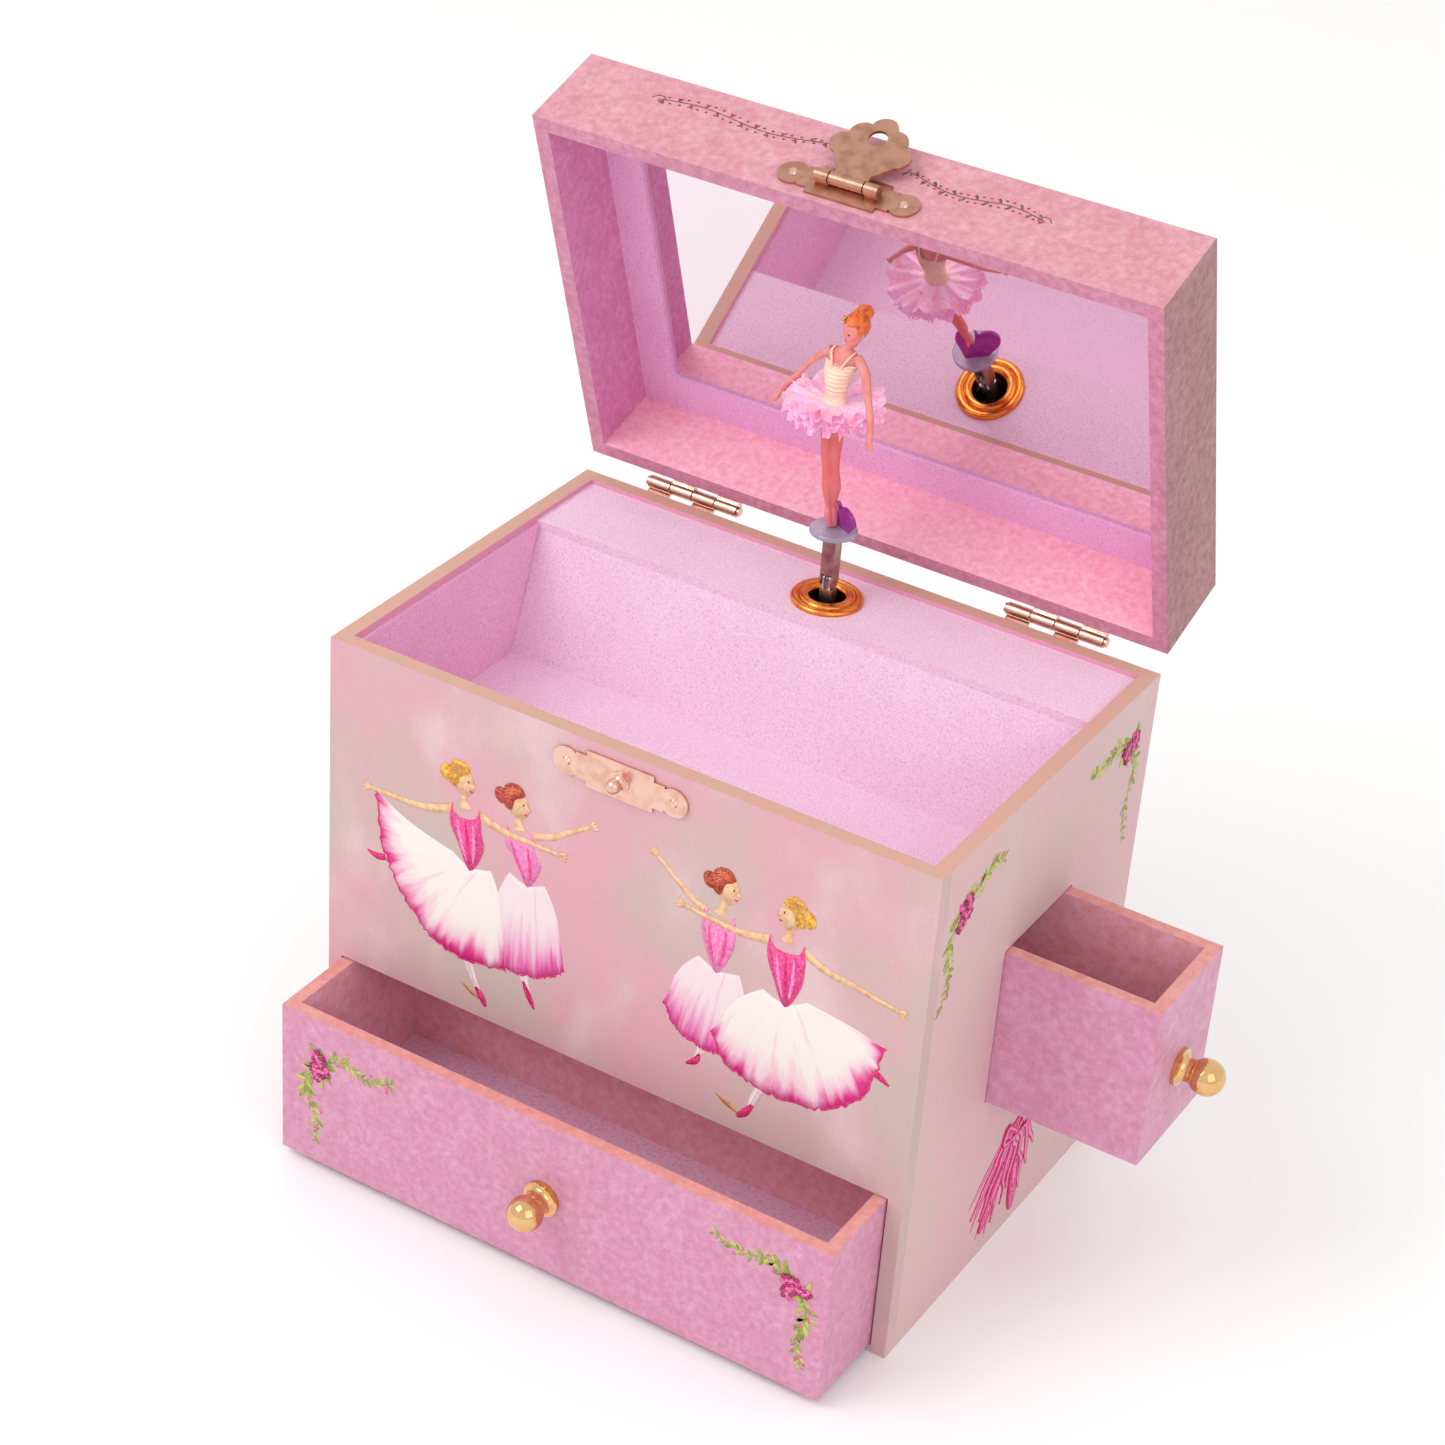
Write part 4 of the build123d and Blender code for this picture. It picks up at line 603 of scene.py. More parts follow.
def dancer_body():
    """Legs, torso, arms and head as one moulded skin."""
    bm = bmesh.new()
    skin_rings(bm, [torso_ring(level) for level in smooth_line(torso, 5)])
    neck = [(0, 0.1, 40.6, 1.6), (0, -0.1, 43.2, 1.35), (0.8, -0.5, 46.6, 1.4)]
    limb(bm, from_foot(neck))
    for side, knee_y, foot_y in ((-1, -0.5, -0.9), (1, 0.4, 0.5)):
        limb(bm, from_foot([
            (side * 1.5, 0, 27.4, 1.7),
            (side * 1.2, 0, 20.0, 1.35),
            (side * 0.95, knee_y * 0.6, 13.6, 1.0),
            (side * 0.85, knee_y, 10.0, 1.2),
            (side * 0.5, knee_y, 5.6, 0.72),
            (side * 0.42, foot_y, 3.2, 0.82, 1.3),
            (side * 0.36, foot_y * 0.7, 0.1, 0.5),
        ]))
    arms = (
        ((-3.1, 0, 41.0), (-6.9, 0.2, 38.0), (-10.4, 0, 34.9), (-13.6, -0.7, 31.6), (-15.6, -1.3, 28.6)),
        ((3.1, 0, 41.0), (5.9, -1.0, 38.2), (7.9, -2.9, 34.2), (9.7, -5.2, 30.7), (10.6, -7.0, 28.0)),
    )
    radii = (1.15, 0.95, 0.72, 0.66, 0.48)
    for arm in arms:
        path = from_foot([(*point, radius) for point, radius in zip(arm, radii)])
        limb(bm, path)
        wrist = Vector(path[-1][:3])
        reach = (wrist - Vector(path[-2][:3])).normalized()
        spread = reach.cross(Vector((0, 1, 0))).normalized()
        palm = wrist + reach * 0.7
        ball(bm, palm, (0.55, 0.75, 0.95))
        for finger in (-1, 0, 1):
            tip = palm + reach * (1.9 - 0.25 * abs(finger)) + spread * finger * 0.5
            limb(bm, [(*palm, 0.36), (*mean(palm, tip), 0.3), (*tip, 0.22)], 10, 4)
        thumb = palm + reach * 0.6 - spread * 1.0
        limb(bm, [(*palm, 0.34), (*thumb, 0.24)], 10, 4)
    ball(bm, on_head(0, 0.2, 0.5), (2.55, 2.85, 3.0), head_turn)
    ball(bm, on_head(0, -0.55, -1.3), (1.9, 2.0, 2.1), head_turn)
    ball(bm, on_head(0, -1.75, -2.5), (0.75, 0.7, 0.6), head_turn)
    nose = [
        (*on_head(0, -2.45, 0.35), 0.22),
        (*on_head(0, -2.95, -0.75), 0.38),
        (*on_head(0, -2.55, -1.0), 0.3),
    ]
    limb(bm, nose, 10, 4)
    for side in (-1, 1):
        ball(bm, on_head(side * 1.05, -1.75, -0.9), (0.7, 0.7, 0.6), head_turn)
        ball(bm, on_head(side * 2.5, 0.3, -0.5), (0.25, 0.45, 0.7), head_turn)
    ball(bm, on_head(0, -2.4, -1.75), (0.6, 0.42, 0.28), head_turn)
    made = melted(bm, voxel=0.2, rounds=4)
    sway(made, keep_arms=True)
    new_piece("dancer_body", made, "dancer", [skin_finish()], replaced=["ballerina_figure"])


def skin_finish():
    """Painted doll plastic: warm skin, legs a darker red that is partly pink tights and partly painted shade
    under the tutu, rosy lips and cheeks, brown eyes, and pink ballet shoes.
    """
    paint = Finish("doll_skin", {
        "Subsurface Weight": 0.12,
        "Subsurface Radius": (0.002, 0.0008, 0.0005),
        "Subsurface Scale": 0.5,
    })
    tone = paint.noise(4 * MM, 3)
    colour = paint.mix(paint.fade(tone, 0.35, 0.7), srgb(230, 152, 144), srgb(222, 128, 122))
    # centre, radius, colour, width of the soft edge
    spots = [
        (on_head(0, -2.75, -1.75), 0.55, srgb(222, 70, 110), 0.2),
        (on_head(1.5, -2.0, -1.0), 1.0, srgb(238, 120, 120), 0.8),
        (on_head(-1.5, -2.0, -1.0), 1.0, srgb(238, 120, 120), 0.8),
        (on_head(0.95, -2.45, 0.1), 0.36, srgb(96, 52, 40), 0.12),
        (on_head(-0.95, -2.45, 0.1), 0.36, srgb(96, 52, 40), 0.12),
    ]
    for place, size, tint, soft in spots:
        away = paint.vector("DISTANCE", paint.position, tuple(place * MM))
        share = paint.math("SUBTRACT", 1.0, paint.fade(away, (size - soft) * MM, size * MM))
        colour = paint.mix(share, colour, tint)
    height = paint.vector("DOT_PRODUCT", paint.position, (0, 0, 1))
    # The legs turn a darker red below the hips: partly pink tights, partly painted shade under the tutu.
    legs = paint.math("SUBTRACT", 1.0, paint.fade(height, (foot_z + 22) * MM, (foot_z + 28) * MM))
    colour = paint.mix(paint.math("MULTIPLY", legs, 0.6), colour, srgb(222, 96, 96))
    shoe = paint.math("SUBTRACT", 1.0, paint.fade(height, (foot_z + 4.4) * MM, (foot_z + 4.7) * MM))
    paint.colour(paint.mix(shoe, colour, srgb(232, 128, 138)))
    paint.rough(paint.span(paint.noise(1.5 * MM), 0.36, 0.5))
    paint.bump(paint.noise(0.8 * MM, 3), 0.015 * MM)
    return paint.material


def dancer_bodice():
    """A ribbed cream bodice with a yoke over the tutu and two straps."""
    bm = bmesh.new()
    levels = [level for level in smooth_line(torso, 12) if 28.0 <= level[0] <= 38.9]
    rings = []
    for number, level in enumerate(levels):
        rib = 0.26 * math.sin(number * 1.3) if level[0] > 32.0 else 0.0
        yoke = 0.55 * max(0.0, 1 - abs(level[0] - 28.9) / 2.2)
        ring = []
        for x, y, z in torso_ring(level, 0.24 + rib + yoke):
            front = max(0.0, (axis_y - y) / 3)
            dip = 0.9 * math.cos(x * 0.9) if level is levels[-1] and front > 0 else 0.0
            ring.append((x, y, z - dip * front))
        rings.append(ring)
    skin_rings(bm, rings)
    for side in (-1, 1):
        strap = [
            (side * 0.9, -2.65, 38.0, 0.26),
            (side * 1.7, -2.2, 39.9, 0.24),
            (side * 2.5, -1.25, 41.6, 0.24),
            (side * 2.45, 0.3, 42.0, 0.24),
            (side * 2.1, 1.75, 40.4, 0.24),
            (side * 1.6, 2.05, 38.6, 0.26),
        ]
        limb(bm, from_foot(strap), 10, 6)
    sway(bm)
    paint = Finish("bodice", {"Specular IOR Level": 0.5})
    tone = paint.noise(2.5 * MM, 3)
    paint.colour(paint.mix(paint.fade(tone, 0.35, 0.7), srgb(252, 226, 200), srgb(244, 206, 186)))
    paint.rough(paint.span(tone, 0.4, 0.55))
    paint.bump(paint.noise(0.4 * MM, 3), 0.03 * MM)
    new_piece("dancer_bodice", bm, "dancer", [paint.material])


def dancer_hair():
    """Swept-up hair in strands, with a high bun."""
    bm = bmesh.new()
    ball(bm, on_head(0, 0.55, 0.95), (2.85, 2.95, 2.85), head_turn, 64)
    bun = on_head(0.3, 2.5, 3.3)
    ball(bm, bun, (1.9, 2.1, 1.75), head_turn, 48)
    limb(bm, [(*on_head(0, 1.2, 2.6), 1.9), (*mean(on_head(0, 1.8, 2.9), bun), 1.7), (*bun, 1.3)], 32, 6)
    crown = on_head(0.1, 1.5, 3.4)
    turned_back = head_turn.inverted()
    for vert in bm.verts:
        out = turned_back @ (vert.co - head_at)
        turn = math.atan2(out.x, out.z + 1.5 + 0.3 * out.y)
        strand = 0.09 * math.sin(34 * turn) + 0.05 * math.sin(61 * turn + out.y)
        vert.co += (vert.co - mean(head_at, crown)).normalized() * strand
        if out.y < -1.1 and out.z < 1.9:
            vert.co += head_turn @ Vector((0, 1.2 * min(1.0, (-1.1 - out.y)), 0.15))
    paint = Finish("hair", {"Specular IOR Level": 0.5})
    streak = paint.noise(0.5 * MM, 3, stretch=(1, 3, 3))
    tone = paint.mix(paint.fade(streak, 0.35, 0.65), srgb(224, 104, 40), srgb(238, 134, 58))
    paint.colour(paint.mix(paint.fade(paint.noise(1.8 * MM), 0.5, 0.75), tone, srgb(178, 58, 28)))
    paint.rough(paint.span(streak, 0.34, 0.5))
    paint.bump(streak, 0.05 * MM)
    new_piece("dancer_hair", bm, "dancer", [paint.material])


def hair_ornament():
    """A small gold flower set in the hair over the brow."""
    bm = bmesh.new()
    centre = on_head(-1.35, -1.75, 2.75)
    out = (centre - on_head(0, 0.5, 0.6)).normalized()
    facing = out.to_track_quat("Z", "Y").to_matrix().to_4x4()
    petals = 5
    for k in range(petals):
        turn = Matrix.Rotation(math.tau * k / petals, 4, "Z")
        petal = centre + facing @ turn @ Vector((0.62, 0, 0.1))
        ball(bm, petal, (0.48, 0.3, 0.17), facing @ turn, 14)
    ball(bm, centre + out * 0.18, (0.3, 0.3, 0.25), facing, 14)
    new_piece("hair_ornament", bm, "dancer", [gold])


def tulle_finish():
    """Crisp tulle: lilac to rose, a little see-through, with a faint pink glow painted in to lighten its
    shade.
    """
    paint = Finish("tulle", {
        "Sheen Weight": 0.3,
        "Sheen Roughness": 0.4,
        "Alpha": 0.94,
        "Specular IOR Level": 0.5,
        # Emission: a faint painted pink glow, no lamp, that lifts the tulle where it lies in shade.
        "Emission Color": srgb(244, 170, 212),
        "Emission Strength": 0.14,
    })
    cloud = paint.noise(3.2 * MM, 3)
    deep = paint.noise(1.6 * MM, 3, start=4.0)
    colour = paint.mix(paint.fade(cloud, 0.4, 0.62), srgb(250, 202, 220), srgb(242, 206, 234))
    colour = paint.mix(paint.fade(deep, 0.56, 0.74), colour, srgb(230, 160, 208))
    paint.colour(paint.mix(paint.fade(paint.noise(0.9 * MM, 2), 0.56, 0.7), colour, srgb(255, 232, 242)))
    paint.rough(paint.span(deep, 0.3, 0.5))
    paint.bump(paint.noise(0.25 * MM, 2), 0.03 * MM)
    return paint.material


def tutu():
    """Ruffled rings of tulle, one over another, each gathered under the bodice."""
    finish = tulle_finish()
    seeded = random.Random(7)
    inner, outer = 2.7, 11.0
    root = foot_z + 30.2
    layer_gap = 0.4
    rows, columns = 14, 360
    # how much shorter each layer is, and how far its edge hangs under its gathers
    for layer, (short, droop) in enumerate(((0.5, -0.9), (0.2, -0.3), (0.0, 0.3), (0.6, 1.0), (1.6, 1.8))):
        waves = 13 + layer
        phases = [seeded.uniform(0, math.tau) for _ in range(6)]
        reach = outer - short
        top = root - layer_gap * layer
        bm = bmesh.new()
        grid = []
        for row in range(rows + 1):
            t = row / rows
            ring = []
            for column in range(columns):
                angle = math.tau * column / columns
                wave = waves * angle + phases[0] + 0.7 * math.sin(2 * angle + phases[1])
                fold = angle + 0.5 / waves * t * math.sin(2 * wave + phases[2])
                scallop = 0.45 * t * t * math.sin(2 * wave) + 0.35 * t * math.sin(3 * angle + phases[3])
                radius = inner + (reach - inner) * t + scallop
                ruffle = 1.1 * t**1.3 * math.sin(wave)
                frill = 0.42 * t**3 * math.sin(2.7 * wave + phases[4])
                height = top - droop * t**1.7 + ruffle + frill
                ring.append(bm.verts.new((radius * math.cos(fold), axis_y + radius * math.sin(fold), height)))
            grid.append(ring)
        for low, high in zip(grid, grid[1:]):
            for i in range(columns):
                j = (i + 1) % columns
                bm.faces.new((low[i], low[j], high[j], high[i]))
        sway(bm)
        replaced = ["tutu"] if layer == 0 else []
        ring = new_piece(f"tutu_layer_{layer + 1}", bm, "dancer", [finish], replaced=replaced)


dancer_body()
dancer_bodice()
dancer_hair()
hair_ornament()
tutu()


# ---------------------------------------------------------------- printing on the paper, in millimetres
LAYER = 0.012             # each layer of ink stands this much over the one below


def ink(name, base, shade, patch=1.6 * MM):
    """Printed colour: the wash varies a little, and the paper's tooth shows through."""
    paint = Finish("ink_" + name, {"Specular IOR Level": 0.3})
    wash = paint.mix(paint.fade(paint.noise(patch, 3), 0.38, 0.66), srgb(*base), srgb(*shade))
    tooth = paint.noise(0.35 * MM, 2, start=5.0)
    paint.colour(paint.mix(paint.fade(tooth, 0.5, 0.75), wash, paint.mix(0.25, wash, srgb(255, 240, 240))))
    paint.rough(paint.span(tooth, 0.55, 0.68))
    paint.bump(tooth, 0.015 * MM)
    return paint.material


def skirt_ink(name, light, blush, hem, hem_start):
    """Skirt wash: pale at the waist, with streaks that gather into a bright hem. It follows the weave."""
    paint = Finish("ink_" + name, {"Specular IOR Level": 0.3})
    down = paint.vector("DOT_PRODUCT", paint.weave, (0, 1, 0))
    streak = paint.noise(0.16, 4, stretch=(0.5, 5, 1), source=paint.weave)
    ragged = paint.math("ADD", down, paint.span(streak, -0.16, 0.16))
    wash = paint.mix(paint.math("MULTIPLY", paint.fade(streak, 0.55, 0.75), 0.6), srgb(*light), srgb(*blush))
    wash = paint.mix(paint.math("MULTIPLY", paint.fade(ragged, hem_start, 0.98), 0.8), wash, srgb(*blush))
    wash = paint.mix(paint.fade(ragged, 0.5 + hem_start / 2, 1.04), wash, srgb(*hem))
    paint.colour(wash)
    tooth = paint.noise(0.35 * MM, 2, start=5.0)
    paint.rough(paint.span(tooth, 0.55, 0.68))
    paint.bump(tooth, 0.015 * MM)
    return paint.material


# base and shade of each ink, and the size of its patches where they are fine
washes = {
    "white": ((236, 224, 220), (228, 208, 208)),
    "rose": ((222, 32, 118), (196, 20, 96)),
    "pink": ((236, 84, 150), (226, 48, 128), 0.8 * MM),
    "light_pink": ((240, 146, 196), (234, 112, 178), 0.8 * MM),
    "skin": ((234, 196, 156), (222, 168, 122)),
    "gold_hair": ((240, 190, 70), (214, 132, 40), 0.7 * MM),
    "red_hair": ((196, 84, 50), (158, 44, 36), 0.7 * MM),
    "plum_hair": ((226, 120, 84), (200, 90, 60), 0.7 * MM),
    "leaf": ((160, 172, 70), (128, 142, 52)),
    "pale_leaf": ((198, 202, 104), (176, 184, 84)),
    "plum": ((176, 46, 104), (136, 24, 80), 0.6 * MM),
    "petal": ((236, 110, 170), (214, 66, 134), 0.6 * MM),
    "sepia": ((132, 88, 70), (104, 66, 56)),
    "ochre": ((206, 150, 84), (184, 122, 66)),
}
inks = {name: ink(name, *wash) for name, wash in washes.items()}
inks["skirt"] = skirt_ink("skirt", (236, 226, 222), (232, 160, 196), (214, 44, 130), 0.62)
inks["back_skirt"] = skirt_ink("back_skirt", (232, 214, 218), (228, 136, 188), (214, 70, 146), 0.36)


def turned(shape, centre, turn):
    """A flat shape turned by an angle and moved to a place."""
    c, s = math.cos(turn), math.sin(turn)
    return [(centre[0] + a * c - b * s, centre[1] + a * s + b * c) for a, b in shape]


class Motif:
    """Shapes printed on one face of the box. Each is a closed slab from the face up to its own layer.

    place turns (across, up, rise) into a point, and the shapes' u and v are its across and up.
    """

    def __init__(self, place):
        self.place = place
        self.bm = bmesh.new()
        self.weave = self.bm.loops.layers.uv.new("Weave")
        self.used = []

    def slot_of(self, name):
        """The material slot of an ink, added when it is first used."""
        if name not in self.used:
            self.used.append(name)
        return self.used.index(name)

    def points(self, line, height):
        return [self.bm.verts.new(self.place(u, v, height)) for u, v in line]

    def grid(self, rows, name, layer):
        """A slab over rows of points. The weave runs along each row in U, and from row to row in V."""
        slot = self.slot_of(name)
        low, high = [[self.points(row, h) for row in rows] for h in (0.0, LAYER * (layer + 1))]
        tall = len(rows) - 1
        wide = len(rows[0]) - 1
        for i in range(tall):
            for k in range(wide):
                cells = ((i, k), (i, k + 1), (i + 1, k + 1), (i + 1, k))
                for sheet in (low, high):
                    face = self.bm.faces.new([sheet[a][b] for a, b in cells])
                    face.material_index = slot
                    for loop, (a, b) in zip(face.loops, cells):
                        loop[self.weave].uv = (b / wide, a / tall)
        edge = [(0, k) for k in range(wide)] + [(i, wide) for i in range(tall)]
        edge += [(tall, k) for k in range(wide, 0, -1)] + [(i, 0) for i in range(tall, 0, -1)]
        self.skirt_edge([low[a][b] for a, b in edge], [high[a][b] for a, b in edge], slot)

    def skirt_edge(self, low, high, slot):
        """The narrow side faces between a slab's two outlines."""
        for k in range(len(low)):
            j = (k + 1) % len(low)
            self.bm.faces.new((low[k], low[j], high[j], high[k])).material_index = slot

    def blob(self, outline, name, layer, steps=4):
        """A slab inside a smooth closed outline."""
        slot = self.slot_of(name)
        line = smooth_line(outline, steps, closed=True)
        low = self.points(line, 0.0)
        high = self.points(line, LAYER * (layer + 1))
        for sheet in (low, high):
            self.bm.faces.new(sheet).material_index = slot
        self.skirt_edge(low, high, slot)

    def oval(self, centre, half, name, layer, turn=0.0):
        """A slab inside an ellipse of the given half sizes."""
        corners = 8
        angles = [math.tau * k / corners for k in range(corners)]
        shape = [(half[0] * math.cos(angle), half[1] * math.sin(angle)) for angle in angles]
        self.blob(turned(shape, centre, turn), name, layer)

    def stroke(self, path, name, layer, steps=6):
        """A brush stroke through points (u, v, width)."""
        line = smooth_line(path, steps)
        rows = []
        for i, (u, v, width) in enumerate(line):
            ahead = line[min(i + 1, len(line) - 1)]
            behind = line[max(i - 1, 0)]
            run, climb = ahead[0] - behind[0], ahead[1] - behind[1]
            half = max(width, 0.08) / 2 / math.hypot(run, climb)
            rows.append([(u - climb * half, v + run * half), (u + climb * half, v - run * half)])
        self.grid(rows, name, layer)

    def leaf(self, root, turn, length, name, layer):
        """An almond leaf that grows from root in the direction turn."""
        shape = ((0, 0), (0.3, 0.17), (0.65, 0.16), (1, 0), (0.65, -0.16), (0.3, -0.17))
        self.blob(turned([(a * length, b * length) for a, b in shape], root, turn), name, layer, 3)

    def flower(self, centre, size, turn, layer):
        """Five petals round a pale eye."""
        for k in range(5):
            angle = turn + math.tau * k / 5
            petal = (centre[0] + 0.55 * size * math.cos(angle), centre[1] + 0.55 * size * math.sin(angle))
            self.oval(petal, (0.48 * size, 0.36 * size), ("plum", "petal")[k % 2], layer + k, angle)
        self.oval(centre, (0.22 * size, 0.22 * size), "light_pink", layer + 5)

    def finish(self, name, body, slot):
        return new_piece(name, self.bm, body, [inks[used] for used in self.used])


# Places on the printed faces: across, up, and how far the ink stands out.
def on_front(x, z, rise):
    return Vector((x, front_y / MM - rise, z))


def on_right(y, z, rise):
    return Vector((right_x / MM + rise, y, z))


def on_drawer(x, z, rise):
    return Vector((x, drawer_y / MM - rise, z))


def on_lid(x, height, rise):
    """A place on the lid's front wall: with the lid shut, height is from the body's rim."""
    return lid_point(x * MM, front_y - rise * MM, rim_z + height * MM) / MM


def bell(motif, waist, hem, name, layer):
    """A bell skirt: a fan of rows from the waist's curve to a scalloped hem, rounded out on the way."""
    columns = 60
    steps = 12
    swell = 0.3
    top = smooth_line(waist, 20)
    bottom = smooth_line(hem, 20)
    middle_of = (mean(waist[0][0], waist[-1][0]), mean(waist[0][1], waist[-1][1]))
    rows = []
    for row in range(steps + 1):
        t = row / steps
        points = []
        for k in range(columns + 1):
            s = k / columns
            a = top[round(s * (len(top) - 1))]
            b = bottom[round(s * (len(bottom) - 1))]
            round_out = 1 + swell * math.sin(math.pi * t) * (1 - t) * abs(2 * s - 1)
            scallop = 1 + 0.016 * t**4 * math.cos(k * 1.9 + 3 * math.sin(0.7 * k))
            u = a[0] + (b[0] - a[0]) * t
            v = a[1] + (b[1] - a[1]) * t**1.12
            points.append((
                middle_of[0] + (u - middle_of[0]) * round_out * scallop,
                middle_of[1] + (v - middle_of[1]) * scallop,
            ))
        rows.append(points)
    motif.grid(rows, name, layer)
    outline = [(*point, 0.36 if k % 3 else 0.6) for k, point in enumerate(rows[-1])]
    motif.stroke(outline, "rose", layer + 1, 1)


def head(motif, place, face, hair, layer):
    """A head in profile with gathered hair; face is -1 or 1, the side it looks to."""
    size = 1.35
    def at(across, up):
        return (place[0] + size * face * across, place[1] + size * up)

    motif.oval(at(0.3, -0.2), (2.0 * size, 2.6 * size), "skin", layer, 0.12 * face)
    motif.oval(at(2.1, -0.5), (0.5 * size, 0.45 * size), "skin", layer + 1)
    motif.blob([
        at(1.5, 2.0), at(0.4, 3.4), at(-1.8, 3.1), at(-2.8, 1.1),
        at(-2.3, -1.2), at(-1.0, -1.6), at(-0.3, 0.5), at(0.8, 1.2),
    ], hair, layer + 2)
    motif.oval(at(-3.0, 0.4), (1.25 * size, 1.5 * size), hair, layer + 3, 0.3)
    strand = "plum_hair" if hair == "red_hair" else "ochre"
    for k in range(4):
        lift = 0.6 * k
        start, crest, end = at(-2.4, 0.2 + lift), at(-0.8, 1.5 + 0.6 * lift), at(0.6, 1.6 + 0.5 * lift)
        motif.stroke([(*start, 0.15), (*crest, 0.38), (*end, 0.15)], strand, layer + 4 + k, 4)
    motif.oval(at(1.3, 0.1), (0.16 * size, 0.24 * size), "sepia", layer + 4)
    motif.oval(at(1.8, -1.5), (0.32 * size, 0.18 * size), "rose", layer + 4)


def figure(motif, pose, layer):
    """One printed dancer."""
    u, v = pose["waist"]
    for leg in pose["legs"]:
        motif.stroke(leg, "white", layer)
        motif.stroke([(a, b, 0.12) for a, b, _ in leg], "petal", layer + 1)
    for slipper in pose["slippers"]:
        motif.stroke(slipper, "rose", layer + 1)
    bell(motif, pose["waist_line"], pose["hem"], pose["skirt"], layer + 2)
    left, right = pose["shoulders"]
    neck = (mean(left[0], right[0]), mean(left[1], right[1]))
    head_u, head_v = pose["head"]
    throat = [(*neck, 3.6), (mean(neck[0], head_u), neck[1] + 2.0, 1.7), (head_u, head_v - 2.0, 1.7)]
    motif.stroke(throat, "skin", layer + 4)
    for arm in pose["arms"]:
        motif.stroke(arm, "skin", layer + 5)
        tip = arm[-1][:2]
        back = arm[-2]
        turn = math.atan2(tip[1] - back[1], tip[0] - back[0])
        for finger, spread in enumerate((-0.5, 0.0, 0.45)):
            motif.leaf(tip, turn + spread, 2.4, "skin", layer + 6 + finger)
    bodice, panel, seam = pose["bodice"]
    motif.blob([
        (left[0], left[1] + 0.6), (left[0] + 1.1, left[1] - 1.9), (neck[0], neck[1] - 2.6),
        (right[0] - 1.1, right[1] - 1.9), (right[0], right[1] + 0.6), (right[0] + 0.5, right[1] - 4.5),
        (u + 3.3, v + 4.6), (u, v - 1.6), (u - 3.3, v + 4.6), (left[0] - 0.3, left[1] - 4.5),
    ], bodice, layer + 6)
    for k, (start, name) in enumerate(((-0.5, panel), (0.45, panel), (0.0, seam))):
        top = (neck[0] + start * 4.4, neck[1] - 3.4)
        fold = [
            (*top, 0.3),
            (mean(top[0], u) + start * 1.4, mean(top[1], v), 0.9),
            (u + start * 1.6, v + 0.6, 0.3),
        ]
        motif.stroke(fold, name, layer + 7 + k % 2)
    head(motif, pose["head"], pose["face"], pose["hair"], layer + 7)


# Each dancer's points are (across, up), with a width where a brush stroke needs one.
front_left = {
    "head": (-39.6, 102.8), "face": 1, "hair": "gold_hair", "shoulders": ((-42.1, 95.4), (-34.8, 96.2)),
    "waist": (-36.9, 82.0), "bodice": ("pink", "light_pink", "rose"), "skirt": "skirt",
    "waist_line": [(-41.6, 83.6), (-37.0, 81.4), (-31.4, 82.6)],
    "hem": [(-62.4, 91.0), (-59.6, 76.0), (-52.0, 63.5), (-42.0, 57.0), (-26.6, 58.0)],
    "arms": [
        [(-41.4, 94.9, 2.4), (-47.4, 92.6, 1.9), (-53.4, 91.6, 1.5), (-63.4, 91.4, 1.0)],
        [(-35.4, 95.6, 2.3), (-29.0, 94.2, 1.9), (-24.0, 94.0, 1.5), (-14.4, 94.0, 1.0)],
    ],
    "legs": [
        [(-38.6, 62.0, 3.2), (-36.2, 55.0, 2.2), (-33.6, 49.2, 1.3)],
        [(-57.0, 75.0, 1.6), (-60.4, 74.4, 1.3)],
    ],
    "slippers": [
        [(-34.4, 50.4, 0.9), (-32.8, 48.4, 1.9), (-31.6, 46.2, 0.8)],
        [(-59.4, 74.6, 1.5), (-61.8, 74.0, 1.7), (-64.4, 74.6, 0.5)],
    ],
}
back_left = {
    "head": (-25.4, 102.6), "face": 1, "hair": "red_hair", "shoulders": ((-27.6, 95.6), (-20.9, 96.4)),
    "waist": (-21.9, 84.0), "bodice": ("light_pink", "pink", "light_pink"), "skirt": "back_skirt",
    "waist_line": [(-26.6, 84.4), (-22.0, 82.8), (-17.6, 84.6)],
    "hem": [(-32.0, 60.6), (-25.0, 58.8), (-18.0, 60.2), (-11.4, 64.6)],
    "arms": [[(-21.2, 96.0, 2.1), (-16.0, 97.8, 1.6), (-12.0, 100.6, 1.3), (-6.9, 104.0, 0.9)]],
    "legs": [[(-22.8, 62.0, 2.8), (-21.6, 57.6, 2.0), (-20.4, 54.6, 1.2)]],
    "slippers": [[(-22.0, 57.4, 0.6), (-20.4, 54.2, 1.7), (-18.8, 51.2, 0.6)]],
}
front_right = {
    "head": (42.6, 102.8), "face": -1, "hair": "gold_hair", "shoulders": ((38.0, 95.6), (46.2, 96.0)),
    "waist": (42.9, 81.4), "bodice": ("pink", "light_pink", "rose"), "skirt": "skirt",
    "waist_line": [(37.4, 82.0), (42.8, 80.6), (48.0, 83.2)],
    "hem": [(26.0, 66.0), (30.0, 59.6), (40.0, 56.4), (52.0, 57.6), (62.0, 65.0), (67.0, 80.0)],
    "arms": [
        [(38.6, 95.0, 2.4), (32.6, 93.8, 1.9), (27.2, 93.7, 1.5), (17.4, 94.6, 1.0)],
        [(45.8, 95.4, 2.3), (51.6, 92.9, 1.9), (57.2, 92.2, 1.5), (68.8, 90.4, 1.0)],
    ],
    "legs": [
        [(41.6, 62.0, 3.2), (38.6, 56.0, 2.2), (36.6, 50.4, 1.3)],
        [(61.4, 73.6, 1.6), (64.6, 73.2, 1.3)],
    ],
    "slippers": [
        [(37.4, 51.4, 0.9), (35.6, 48.6, 1.9), (33.8, 46.8, 0.8)],
        [(63.6, 73.8, 1.5), (66.0, 72.6, 1.7), (68.6, 71.2, 0.5)],
    ],
}
